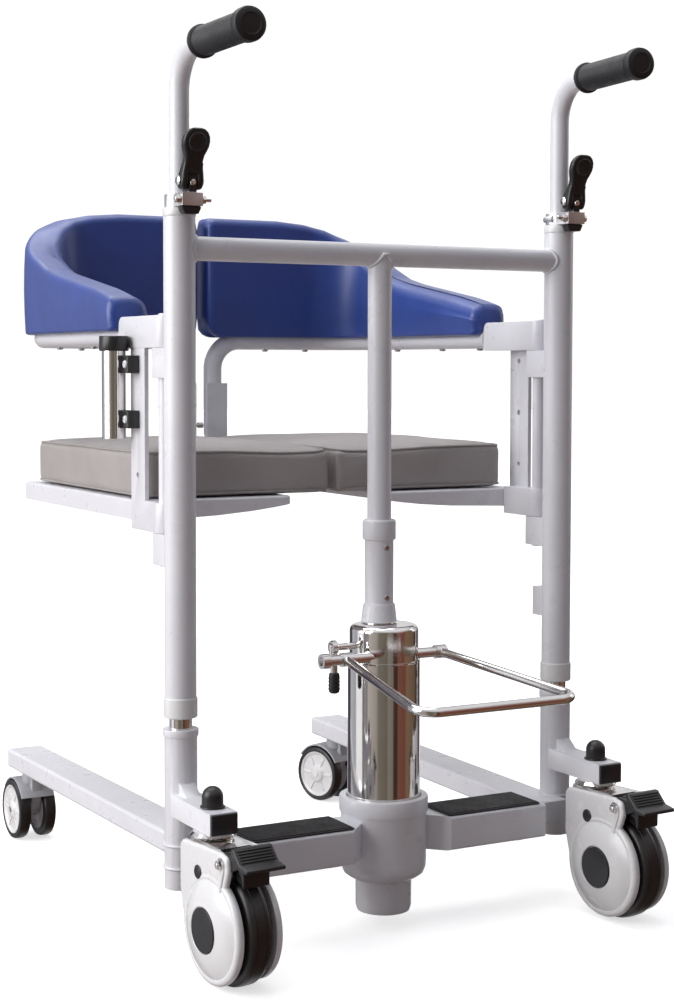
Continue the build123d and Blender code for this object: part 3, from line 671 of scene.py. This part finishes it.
def cushions():
    pad, points = swollen_cushion()
    mesh = pad.data
    mesh.vertices.foreach_set("co", np.array(points, np.float32).ravel())
    mesh.update()
    bpy.data.objects.remove(pad)
    for side, s in SIDES.items():
        bm = bmesh.new()
        bm.from_mesh(mesh)
        if s > 0:
            bmesh.ops.scale(bm, vec=(-1, 1, 1), verts=bm.verts)
        for _ in range(3):
            bmesh.ops.smooth_vert(bm, verts=bm.verts, factor=0.4, use_axis_x=True,
                                  use_axis_y=True, use_axis_z=True)
        piece = make(f"{side}_seat_cushion", bm, f"{side}_seat_half", (VINYL,),
                     (f"{side}_cushion",), 180, levels=1)
    bm = bmesh.new()
    bm.from_mesh(mesh)
    skin_tree = BVHTree.FromBMesh(bm)
    bm.free()
    for side in SIDES:
        for level, part in ((high("left_cushion").z - 0.001, "top"),
                            (low("left_cushion").z + 0.004, "bottom")):
            piping(skin_tree, side, level, f"{side}_cushion_{part}_piping")


# -------- handles and clamps


def grip(side):
    """A ribbed rubber sleeve with a flange near each end and a rounded nose."""
    node = f"{side}_grip"
    toe_in = radians(HANDLE_TURN[side])
    way = Vector((-SIDES[side] * sin(toe_in), -cos(toe_in), 0))
    post = Vector((middle(f"{side}_post").x, middle(f"{side}_post").y, middle(node).z))
    start, length = 60, 120
    place = placed(post + way * start * MM, UP, way)
    profile = [(11.3, 0), (16.6, 0), (17.8, 1.2), (17.9, 4.0), (17.0, 5.2), (15.3, 6.2)]
    ribs = 25
    first, last = 8.0, length - 18
    pitch = (last - first) / ribs
    for k in range(ribs):
        h = first + k * pitch
        profile += [(15.1, h), (15.75, h + pitch * 0.25), (15.75, h + pitch * 0.7),
                    (15.1, h + pitch * 0.95)]
    profile += [(15.4, length - 16.5), (16.8, length - 14.5), (17.9, length - 12.5),
                (18.0, length - 6), (17.2, length - 2.6), (14.5, length - 0.9),
                (11.0, length - 0.5), (10.0, length - 1.4), (4, length - 1.2), (0, length - 1.2)]
    bm = bmesh.new()
    lathe(bm, profile, place, turns=64)
    make(f"{side}_grip_sleeve", bm, f"{side}_push_handle", (RUBBER,), (node,))


def clamp_lever(side):
    """A quick-release lever: a forked cam foot, a narrow waist and a broad round head. Its
    sections are (rise, y, half width, half thickness) from the pivot."""
    pivot = joint_at(f"{side}_lever_flip")
    place = Matrix.Translation(pivot) @ Matrix.Scale(MM, 4)
    foot = ((-9, -1, 10.6, 4.0), (-7.6, -1, 12.0, 6.2), (-4, -1.2, 12.8, 7.8), (1, -2, 12.9, 8.2),
            (7, -3, 12.4, 7.6), (13, -5, 11.4, 6.2), (18, -7.5, 10.9, 5.4), (19, -8, 10.4, 4.2))
    head = ((10.2, -6.6, 6.0, 4.0), (12.6, -6.4, 9.6, 4.6), (16, -6.2, 11.0, 5.4),
            (21, -8.8, 10.8, 5.2), (26, -11, 11.4, 5.0), (30, -12.8, 13.2, 5.0),
            (35, -14.8, 15.0, 5.1), (40, -16.6, 15.5, 5.2), (45, -18.2, 14.8, 5.1),
            (49.5, -19.6, 12.4, 4.7), (52.6, -20.6, 8.6, 3.8), (53.8, -21, 4.6, 2.2))
    waist = 16  # sections of the head below this lean back a little
    bm = bmesh.new()
    for way in (-1, 1):
        rings = []
        for rise, y, half, thick in foot:
            near = 4.9 if abs(rise - 1) < 16.5 else 5.6
            ring = eased([(near, -thick), (half, -thick), (half, thick), (near, thick)],
                         min(thick, (half - near)) * 0.5, steps=3)
            rings.append([(way * x, y + b, rise) for x, b in ring])
        skin(bm, rings, place)
    rings = []
    for rise, y, half, thick in head:
        ring = eased([(-half, -thick), (half, -thick), (half, thick), (-half, thick)],
                     thick * 0.85, steps=4)
        tilt = max(0.0, waist - rise) * 0.15
        rings.append([(x, y + b, rise + b * tilt) for x, b in ring])
    skin(bm, rings, place)
    face = placed(pivot + Vector((0, -0.0205, 0.0395)), ACROSS, Vector((0, -1, -0.36)))
    lathe(bm, ((10.5, -3), (10.5, 1.2), (9.7, 2.0), (8.9, 1.4), (0, 1.1)), face, turns=44)
    make(f"{side}_quick_lever", bm, f"{side}_lever", (BLACK,),
         (f"{side}_clamp_lever",), sharp=44)


def clamp_hardware():
    """Pinch bolts, rivets and nuts of both handle clamps, and the black wedges below them."""
    rivet_x, band_half = 0.0131, 0.012
    bm = bmesh.new()
    for side, s in SIDES.items():
        pivot = joint_at(f"{side}_lever_flip")
        for way in (-1, 1):
            place = placed(pivot + ACROSS * way * rivet_x, AHEAD, ACROSS * way)
            lathe(bm, ((0, 0), (5.2, 0), (5.2, 0.8), (3.6, 2.2), (0, 2.6)), place, turns=24)
        screw_head(bm, placed(pivot + Vector((0, -0.008, -0.002)), ACROSS, -AHEAD), 3.9, 2.2)
        band = Vector((pivot.x, -0.030, high("clamp_collars").z + 0.007))
        for way in (-1, 1):
            place = placed(band + ACROSS * way * band_half, AHEAD, ACROSS * way)
            lathe(bm, ((0, 0), (5.6, 0), (5.6, 1.2), (0, 1.2)), place, turns=24)
            hexagon(bm, place, 8, 1.2, 5.6)
        tail = placed(band + ACROSS * -s * band_half, AHEAD, ACROSS * -s)
        lathe(bm, ((0, 0), (2.4, 0), (2.4, 11), (1.6, 12), (0, 12)), tail, turns=18)
    make("clamp_bolts", bm, "lift_frame", (CHROME,))
    bm = bmesh.new()
    for side in SIDES:
        under = Vector((middle(f"{side}_post").x, -0.0335, high("clamp_collars").z - 0.0003))
        wedge = eased([(-12, 0), (12, 0), (8, -8.2), (-8, -8.2)], 1.5, steps=2)
        prism(bm, wedge, -12, 0, placed(under, ACROSS, -AHEAD), ease=1)
    make("clamp_wedges", bm, "lift_frame", (BLACK,))


# -------- welds

def weld_beads():
    """Small fillets of weld where the tubes of the lift frame and the base meet."""
    post_r = (high("left_post").x - low("left_post").x) / 2
    bar_low, bar_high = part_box("upper_crossbar")
    bar_r = (bar_high.z - bar_low.z) / 2
    level = (bar_low.z + bar_high.z) / 2
    mast_r = (high("mast_tube").x - low("mast_tube").x) / 2
    turns = [2 * pi * k / 72 for k in range(72)]
    bm = bmesh.new()
    for side, s in SIDES.items():
        x = middle(f"{side}_post").x
        path = []
        for a in turns:
            y = (bar_r + 0.0005) * cos(a)
            path.append((x - s * sqrt((post_r + 0.0006) ** 2 - y * y), y,
                         level + (bar_r + 0.0005) * sin(a)))
        tube(bm, path, 1.9, sides=10, closed=True)
    path = []
    for a in turns:
        x, y = (mast_r + 0.0004) * cos(a), (mast_r + 0.0004) * sin(a)
        path.append((x, y, level - sqrt(max((bar_r + 0.0006) ** 2 - y * y, 0.0))))
    tube(bm, path, 1.9, sides=10, closed=True)
    make("frame_welds", bm, "lift_frame", (PAINT,), sharp=180)
    bm = bmesh.new()
    upright_r = 0.0184
    for side in SIDES:
        x = middle(f"{side}_post").x
        for z in (high(f"{side}_leg").z, low(f"{side}_leg").z):
            ring = [(x + upright_r * cos(a), upright_r * sin(a), z) for a in turns]
            tube(bm, ring, 1.7, sides=8, closed=True)
    make("base_welds", bm, "base", (PAINT,), sharp=180)


# -------- rear casters

def caster_plane(side, way):
    """Local x back along the trail, local y up, local z out of the face on one side of the wheel.
    A way of 1 is the side that the roll axis points to."""
    swivel = joint_at(f"{side}_rear_swivel")
    hub = joint_at(f"{side}_rear_roll")
    back = Vector((hub.x - swivel.x, hub.y - swivel.y, 0)).normalized()
    turn = Matrix((back, UP, back.cross(UP))).transposed().to_4x4()
    turn.translation = Vector((swivel.x, swivel.y, 0))
    flip = 1 if back.cross(UP).dot(joint_axis(f"{side}_rear_roll") * way) > 0 else -1
    return turn @ Matrix.Diagonal((MM, MM, MM * flip, 1))


def rear_caster(side):
    trail, radius = 42, 62.5
    edge, rim, hub = 19.4, 27.0, 36.0
    outline = eased([(-24, 139), (-18, 144.5), (60, 147), (76, 144), (79, 130), (72, 112),
                     (69, 92), (66, 80), (60, 40), (-10, 40), (-17, 66), (-24, 92)], 9, steps=5)
    bm = bmesh.new()
    for way in (-1, 1):
        face = caster_plane(side, way)
        prism(bm, outline, edge, rim, face, ease=3.2, steps=4)
        at_hub = face @ Matrix.Translation((trail, radius, 0))
        dome = [(50, edge), (58.0, edge), (58.6, edge + 1.5), (58.6, rim - 3), (57.4, rim - 0.6),
                (55.2, rim + 0.6), (52.6, rim + 0.8), (51.4, rim + 0.2), (50.2, rim + 0.9),
                (46, rim + 3.2), (40, rim + 5.6), (33, rim + 7.6), (27.5, hub - 0.5),
                (25.6, hub), (24.6, hub - 0.5), (24.3, hub - 2.2), (0, hub - 2.2)]
        lathe(bm, dome, at_hub, turns=96)
        ridge = eased([(64, 141), (71, 140), (73, 130), (67, 112), (64, 96), (60, 92),
                       (61, 112)], 3, steps=3)
        prism(bm, ridge, rim - 1, rim + 1.6, face, ease=1.2)
    make(f"{side}_caster_covers", bm, f"{side}_rear_caster", (SHELL,),
         (f"{side}_rear_covers",), sharp=40)
    bm = bmesh.new()
    for way in (-1, 1):
        face = caster_plane(side, way)
        at_hub = face @ Matrix.Translation((trail, radius, 0))
        lathe(bm, ((23.6, hub - 3), (23.6, hub - 0.4), (22.8, hub + 0.5), (19, hub + 1.1),
                   (10, hub + 1.6), (0, hub + 1.7)), at_hub, turns=64)
        plug = face @ Matrix.Translation((17, 117, 0))
        lathe(bm, ((7.6, rim - 1), (7.6, rim + 0.5), (6.8, rim + 1.1), (0, rim + 1.4)), plug,
              turns=40)
    make(f"{side}_caster_caps", bm, f"{side}_rear_caster", (BLACK,))
    tread = [(22, -11), (44, -11.5), (46.5, -13.4), (52, -14), (57.5, -13.6), (60.6, -11),
             (62.1, -7.4), (62.2, -6.2), (61.7, -5.9), (61.7, -5.4), (62.3, -5.1), (62.5, 0)]
    tread += [(r, -w) for r, w in tread[-2::-1]]
    bm = bmesh.new()
    face = caster_plane(side, 1) @ Matrix.Translation((trail, radius, 0))
    lathe(bm, [(8, -9), (22, -9), (46.4, -9)] + tread[2:-2] + [(46.4, 9), (22, 9), (8, 9)], face,
          turns=112)
    lathe(bm, ((6.3, -13), (13, -13), (13, -9), (44.8, -11.2), (44.8, 11.2), (13, 9), (13, 13),
               (6.3, 13)), face, turns=72, paint=1)
    make(f"{side}_caster_wheel", bm, f"{side}_rear_roller", (TYRE, GREY),
         (f"{side}_rear_wheel",))
    swivel = joint_at(f"{side}_rear_swivel")
    head = placed(Vector((swivel.x, swivel.y, 0)), AHEAD, UP)
    bm = bmesh.new()
    lathe(bm, ((13, 148.2), (23, 148.2), (24.4, 149.4), (24.4, 150.6), (21, 153.9), (13, 153.9)),
          head, turns=56)
    for a in (0.6, 2.5, 4.2):
        spot = head @ Matrix.Translation((19 * cos(a), 19 * sin(a), 0))
        hexagon(bm, spot, 5.5, 150.8, 153.0)
    make(f"{side}_swivel_race", bm, "base", (CHROME,))
    bm = bmesh.new()
    for way in (-1, 1):
        bolt = caster_plane(side, way) @ Matrix.Translation((66, 136, 0))
        lathe(bm, ((0, rim), (7, rim), (7, rim + 1.2), (0, rim + 1.2)), bolt, turns=28)
        hexagon(bm, bolt, 9, rim + 1.2, rim + 5.6)
    make(f"{side}_brake_bolts", bm, f"{side}_rear_caster", (CHROME,))


def brake_pedal(side):
    """A black shoe over the tyre with a broad ribbed tread and a turned-up lip."""
    place = caster_plane(side, 1)
    shoe = eased([(59, 126), (85, 126), (88, 114.5), (92, 114.5), (92.5, 138), (82, 148),
                  (62, 148)], 2.5, steps=3)
    tread = eased([(78, 149.5), (79, 155), (84, 154.5), (97, 141), (111, 138.5), (112, 134.5),
                   (96, 134), (89, 138)], 1.6, steps=3)
    bm = bmesh.new()
    prism(bm, shoe, -15.8, 15.8, place, ease=2)
    prism(bm, tread, -23.5, 23.5, place, ease=2)
    slope = Vector((13, -13.5)).normalized()
    for k in range(5):
        spot = Vector((84.8, 154.0)) + slope * (2.0 + k * 3.4)
        rib = place @ Matrix.Translation((spot.x, spot.y, 0))
        prism(bm, circle(1.0, count=10), -20, 20, rib, ease=0.5)
    arm = eased([(60, 128), (74, 128), (92, 136), (88, 147), (62, 147)], 3, steps=3)
    for way in (-1, 1):
        prism(bm, arm, way * 15.5, way * 22.5, place, ease=1.4)
    make(f"{side}_brake_tread", bm, f"{side}_brake", (BLACK,),
         (f"{side}_brake_pedal",), sharp=35)


# -------- front casters

def hub_arc(radius, start, end, count):
    """Points round the axle of a front caster, 16 mm from its stem and 40 mm up."""
    return [(radius * cos(a) + 16, radius * sin(a) + 40)
            for a in np.linspace(radians(start), radians(end), count)]


def front_caster(side):
    swivel = joint_at(f"{side}_front_swivel")
    hub = joint_at(f"{side}_front_roll")
    axle = joint_axis(f"{side}_front_roll")
    ahead = Vector((hub.x - swivel.x, hub.y - swivel.y, 0)).normalized()
    radius = hub.z / MM
    bm = bmesh.new()
    for way in (-1, 1):
        face = placed(hub, ahead, axle * way)
        tyre = ((30, 9.4), (36, 9.2), (38.6, 10.6), (39.7, 13), (radius, 17.5), (39.7, 22),
                (38.6, 24.6), (36.4, 25.8), (33.6, 25.4), (32.6, 24.4))
        lathe(bm, tyre, face, turns=88, closed=True)
        disc = ((4.3, 9.6), (31, 9.6), (33.4, 11), (33.4, 24.2), (32.4, 25.0), (30.4, 24.6),
                (28.5, 22.9), (15, 22.6), (12.6, 23.4), (11.4, 25.2), (10, 25.8), (0, 26.0))
        lathe(bm, disc, face, turns=72, paint=1)
        for k in range(6):
            a = 2 * pi * k / 6
            rib = eased([(13, -1.3), (28, -1.8), (28, 1.8), (13, 1.3)], 0.8, steps=2)
            prism(bm, rib, 21.5, 23.9, face @ Matrix.Rotation(a, 4, "Z"), paint=1, ease=0.6)
    make(f"{side}_twin_wheels", bm, f"{side}_front_roller", (TYRE, SHELL),
         (f"{side}_front_wheels",))
    bm = bmesh.new()
    foot = Vector((swivel.x, swivel.y, 0))
    place = placed(foot, ahead, ahead.cross(UP))
    body = [(-13, 92), (-16, 84), (-17, 62), (-9, 44), (4, 31), (16, 29), (27, 33), (34, 42)]
    outline = eased(body + hub_arc(43.7, 25, 118, 12), 4, steps=3)
    prism(bm, outline, -7.2, 7.2, place, ease=2.0)
    arch = hub_arc(43.6, 35, 150, 16) + hub_arc(41.2, 150, 35, 16)
    prism(bm, arch, -23, 23, place, ease=0.8, steps=2)
    up_place = placed(foot, ahead, UP)
    lathe(bm, ((5, 78), (13, 78), (14, 80), (14, 90), (12, 92.5), (5, 92.5)), up_place, turns=48)
    lathe(bm, ((4, 92.5), (9, 92.5), (9, 95.3), (4, 95.3)), up_place, turns=36, paint=1)
    axle_place = placed(hub, ahead, axle)
    lathe(bm, ((0, -26.6), (3.9, -26.6), (3.9, 26.6), (0, 26.6)), axle_place, turns=28, paint=1)
    make(f"{side}_front_hood", bm, f"{side}_front_caster", (GREY, CHROME),
         (f"{side}_front_fork",))


# -------- pump

def pump_parts():
    axis = Vector((middle("pump_cylinder").x, middle("pump_cylinder").y, 0))
    place = placed(axis, ACROSS, UP)
    top = high("pump_cap").z / MM
    joint = low("pump_cap").z / MM
    r = (high("pump_cap").x - low("pump_cap").x) / 2 / MM
    bm = bmesh.new()
    lathe(bm, ((r + 0.2, joint - 2.4), (r + 1.9, joint - 2.4), (r + 2.2, joint - 1.6),
               (r + 2.0, joint - 0.4), (r + 0.6, joint + 0.2), (r + 0.2, joint + 0.2)), place,
          turns=96)
    lathe(bm, ((12.4, top - 1), (17.5, top - 1), (17.5, top + 0.8), (16.8, top + 1.1),
               (12.4, top + 1.1)), placed(Vector(), ACROSS, UP), turns=56)
    make("cap_rings", bm, "base", (CHROME,), sharp=30)
    bm = bmesh.new()
    rim_r = (high("pump_housing").x - low("pump_housing").x) / 2 / MM
    rim_z = high("pump_housing").z / MM
    foot = low("pump_housing").z / MM
    outer = [(0, foot), (24, foot), (30.5, foot + 1.5), (32.4, foot + 7), (32.5, foot + 38),
             (35, foot + 40.5), (41, foot + 42.5), (46.5, foot + 46.5), (49, foot + 53),
             (49.5, foot + 60)]
    outer += [(rim_r - 2, rim_z - 21), (rim_r - 0.7, rim_z - 19), (rim_r, rim_z - 17),
              (rim_r, rim_z - 2.2), (rim_r - 0.8, rim_z - 0.6), (rim_r - 2.4, rim_z),
              (44.4, rim_z), (43.2, rim_z - 1.4), (43.0, rim_z - 6), (42.1, rim_z - 6),
              (42.1, rim_z - 50), (0, rim_z - 50)]
    lathe(bm, outer, place, turns=112)
    make("pump_body", bm, "base", (PAINT,), ("pump_housing",), sharp=34)


def release_lever():
    """A chrome cross rod with a short bent arm and a rubber tip."""
    box_low, box_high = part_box("release_lever")
    y, z = middle("pump_cap").y, joint_at("release_lever_turn").z
    x = box_low.x + 0.003
    bm = bmesh.new()
    tube(bm, [(box_high.x, y, z), (x + 0.001, y, z)], 4, sides=24)
    bend = [(x, y, z + 0.004), (x, y + 0.001, z), (x, y - 0.001, z - 0.012),
            (x, y - 0.002, z - 0.034)]
    tube(bm, bend, lambda t: 5.6 - 1.6 * t, sides=20)
    eye = placed(Vector((x, y, z)), UP, ACROSS)
    lathe(bm, ((4, -3.4), (7.4, -3.4), (8.2, -2.4), (8.2, 2.4), (7.4, 3.4), (4, 3.4)), eye, turns=36)
    tip = placed(Vector((x, y - 0.002, box_low.z)), ACROSS, UP)
    lathe(bm, ((0, 0), (4, 0), (6.0, 1.6), (6.3, 4), (6.3, 20), (5.8, 22.6), (4.2, 23.6), (0, 23.8)),
          tip, turns=32, paint=1)
    for k in range(4):
        lathe(bm, ((6.1, 4 + 4 * k), (6.7, 4.6 + 4 * k), (6.7, 5.8 + 4 * k), (6.1, 6.4 + 4 * k)),
              tip, turns=32, paint=1)
    make("release_arm", bm, "release", (CHROME, RUBBER), ("release_lever",))


# -------- base and frame trim

def stem_caps():
    bm = bmesh.new()
    for side in SIDES:
        swivel = joint_at(f"{side}_rear_swivel")
        seat = low("stem_caps").z
        place = placed(Vector((swivel.x, swivel.y, seat)), ACROSS, UP)
        tall = (high("stem_caps").z - seat) / MM
        r = 11.5
        profile = [(0, 0.1), (r + 1.6, 0.1), (r + 1.9, 0.8), (r + 1.6, 1.8), (r, 2.4)]
        profile += [(r * cos(a), tall - r + r * sin(a)) for a in np.linspace(0, pi / 2, 12)]
        lathe(bm, profile, place, turns=56)
    make("stem_nut_caps", bm, "base", (BLACK,), ("stem_caps",))


def step_pads():
    """Anti-slip strips with fine ribs along the crossbar."""
    box_low, box_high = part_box("step_pads")
    flat = placed(Vector((0, 0, box_low.z)), ACROSS, UP)
    inner, outer = 62, box_high.x / MM
    near, far = box_low.y / MM, box_high.y / MM
    margin, ribs = 2, 14
    pitch = (far - near - 2 * margin) / ribs
    bm = bmesh.new()
    for s in (-1, 1):
        x0, x1 = sorted((s * inner, s * outer))
        corners = [(x0, near), (x1, near), (x1, far), (x0, far)]
        prism(bm, eased(corners, 3), 0.05, 1.9, flat, ease=0.6)
        for k in range(ribs):
            y = near + margin + pitch * (k + 0.5)
            rib = [(x0 + margin, y - 1.2), (x1 - margin, y - 1.2), (x1 - margin, y + 1.2),
                   (x0 + margin, y + 1.2)]
            prism(bm, rib, 1.5, 3.0, flat, ease=0.5, steps=2)
    make("step_strips", bm, "base", (RUBBER,), ("step_pads",))


def sleeve_screws():
    """Two socket screws in the front of the mast sleeve."""
    heights = (0.378, 0.436)
    bm = bmesh.new()
    for z in heights:
        place = placed(Vector((0, high("sleeve_screws").y, z)), ACROSS, -AHEAD)
        lathe(bm, ((0, 0.1), (3.5, 0.1), (3.6, 1.4), (3.0, 2.0), (2.0, 2.0), (1.8, 0.9), (0, 0.9)),
              place, turns=30)
    make("socket_screws", bm, "lift_frame", (ZINC,), ("sleeve_screws",))


def screw_head(bm, place, r, tall):
    """A pan head with a driver recess."""
    lathe(bm, ((0, 0), (r, 0), (r, tall * 0.35), (r * 0.8, tall * 0.85), (r * 0.42, tall),
               (r * 0.34, tall * 0.5), (0, tall * 0.5)), place, turns=24)


def rail_screws():
    """Screws that hold the foam from below, through the rails."""
    r = RAIL_RADIUS * MM
    for side, s in SIDES.items():
        rail_low, rail_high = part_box(f"{side}_back_rail")
        x = rail_high.x - r if s > 0 else rail_low.x + r
        y = rail_high.y - r
        under = rail_high.z - 2 * r - 0.0001
        bm = bmesh.new()
        for spot in ((x, 0.170), (x, 0.262), (x, 0.381), (s * 0.170, y), (s * 0.106, y)):
            screw_head(bm, placed(Vector((*spot, under)), ACROSS, -UP), 4.2, 2.6)
        make(f"{side}_rail_screws", bm, f"{side}_seat_half", (ZINC,))


def clip_screws():
    """One pan head on each clip of the pole holder."""
    heights = (0.584, 0.646)
    bm = bmesh.new()
    clip_low = low("pole_clips")
    for z in heights:
        place = placed(Vector((clip_low.x, clip_low.y + 0.007, z)), AHEAD, -ACROSS)
        screw_head(bm, place, 4.6, 2.4)
    make("clip_screw_heads", bm, "left_seat_half", (PAINT,))


def base_bolts():
    """Hex bolts below the ends of the base crossbar."""
    bolt_x, bolt_y = 0.178, -0.025
    under = low("base_crossbar").z
    bm = bmesh.new()
    for s in (-1, 1):
        place = placed(Vector((s * bolt_x, bolt_y, under)), ACROSS, -UP)
        lathe(bm, ((0, 0), (9, 0), (9, 1.5), (0, 1.5)), place, turns=32)
        hexagon(bm, place, 13, 1.5, 8)
    make("base_bolt_heads", bm, "base", (ZINC,))


def floor():
    """A white sweep that fades into the backdrop. It throws back a little warm light and isn't
    mirrored in metal, which shows the room instead."""
    bounce = (0.31, 0.26, 0.24)
    bm = bmesh.new()
    bmesh.ops.create_circle(bm, cap_ends=True, segments=64, radius=25)
    mesh = bpy.data.meshes.new("floor")
    bm.to_mesh(mesh)
    bm.free()
    sweep = finish("studio_floor", (0.90, 0.90, 0.90), (0.94, 0.94, 0.94), (0.55, 0.7), cloud=1.5,
                   Emission_Color=(1, 1, 1, 1))
    tree = sweep.node_tree
    new, join = tree.nodes.new, tree.links.new
    shader = tree.nodes["Principled BSDF"]
    seen = new("ShaderNodeLightPath").outputs
    reach = new("ShaderNodeVectorMath")
    reach.operation = "LENGTH"
    join(new("ShaderNodeTexCoord").outputs["Object"], reach.inputs[0])
    fade = ranged(tree, reach.outputs["Value"], 0.62, 1.0, 0.5, 3.0)
    glow = maths(tree, "MULTIPLY", fade, seen["Is Camera Ray"])
    join(glow, shader.inputs["Emission Strength"])
    white = shader.inputs["Base Color"].links[0].from_socket
    join(mixed(tree, seen["Is Camera Ray"], bounce, white), shader.inputs["Base Color"])
    clear = new("ShaderNodeMixShader")
    join(seen["Is Glossy Ray"], clear.inputs[0])
    join(shader.outputs[0], clear.inputs[1])
    join(new("ShaderNodeBsdfTransparent").outputs[0], clear.inputs[2])
    join(clear.outputs[0], tree.nodes["Material Output"].inputs["Surface"])
    mesh.materials.append(sweep)
    ground = bpy.data.objects.new("floor", mesh)
    bpy.context.scene.collection.objects.link(ground)


camera()
studio()
floor()

dress(PAINT, "left_leg", "right_leg", "base_crossbar", "left_post", "right_post", "mast_tube",
      "upper_crossbar", "left_handle", "right_handle", "left_back_rail", "right_back_rail",
      "left_seat_pan", "right_seat_pan", "hinge_pins")
dress(CHROME, "foot_pedal", "pump_cylinder", "pump_cap", "piston_rod", "guide_tubes", "pole_tube")
dress(ZINC, "seat_latch")
for soft_node, soft_finish, soft_width in (
        ("left_upright", PAINT, 1.6), ("right_upright", PAINT, 1.6), ("mast_sleeve", PAINT, 1.0),
        ("hinge_blocks", PAINT, 1.2), ("left_side_plate", PAINT, 1.4),
        ("right_side_plate", PAINT, 1.4), ("post_collars", SHELL, 0.8), ("leg_end_caps", SHELL, 1.0),
        ("arm_end_caps", BLACK, 0.9), ("clamp_collars", SHELL, 1.2),
        ("pole_cap", BLACK, 1.4), ("pole_clips", BLACK, 1.0), ("left_rear_fork", CHROME, 0.6),
        ("right_rear_fork", CHROME, 0.6)):
    softened(soft_node, soft_finish, soft_width)
softened("clamp_bands", STEEL, 0.6, BLACK, high("clamp_collars").z + 0.0145)
for this_side in SIDES:
    foam_back(this_side)
    grip(this_side)
    clamp_lever(this_side)
    rear_caster(this_side)
    brake_pedal(this_side)
    front_caster(this_side)
cushions()
clamp_hardware()
weld_beads()
pump_parts()
release_lever()
stem_caps()
step_pads()
sleeve_screws()
rail_screws()
clip_screws()
base_bolts()
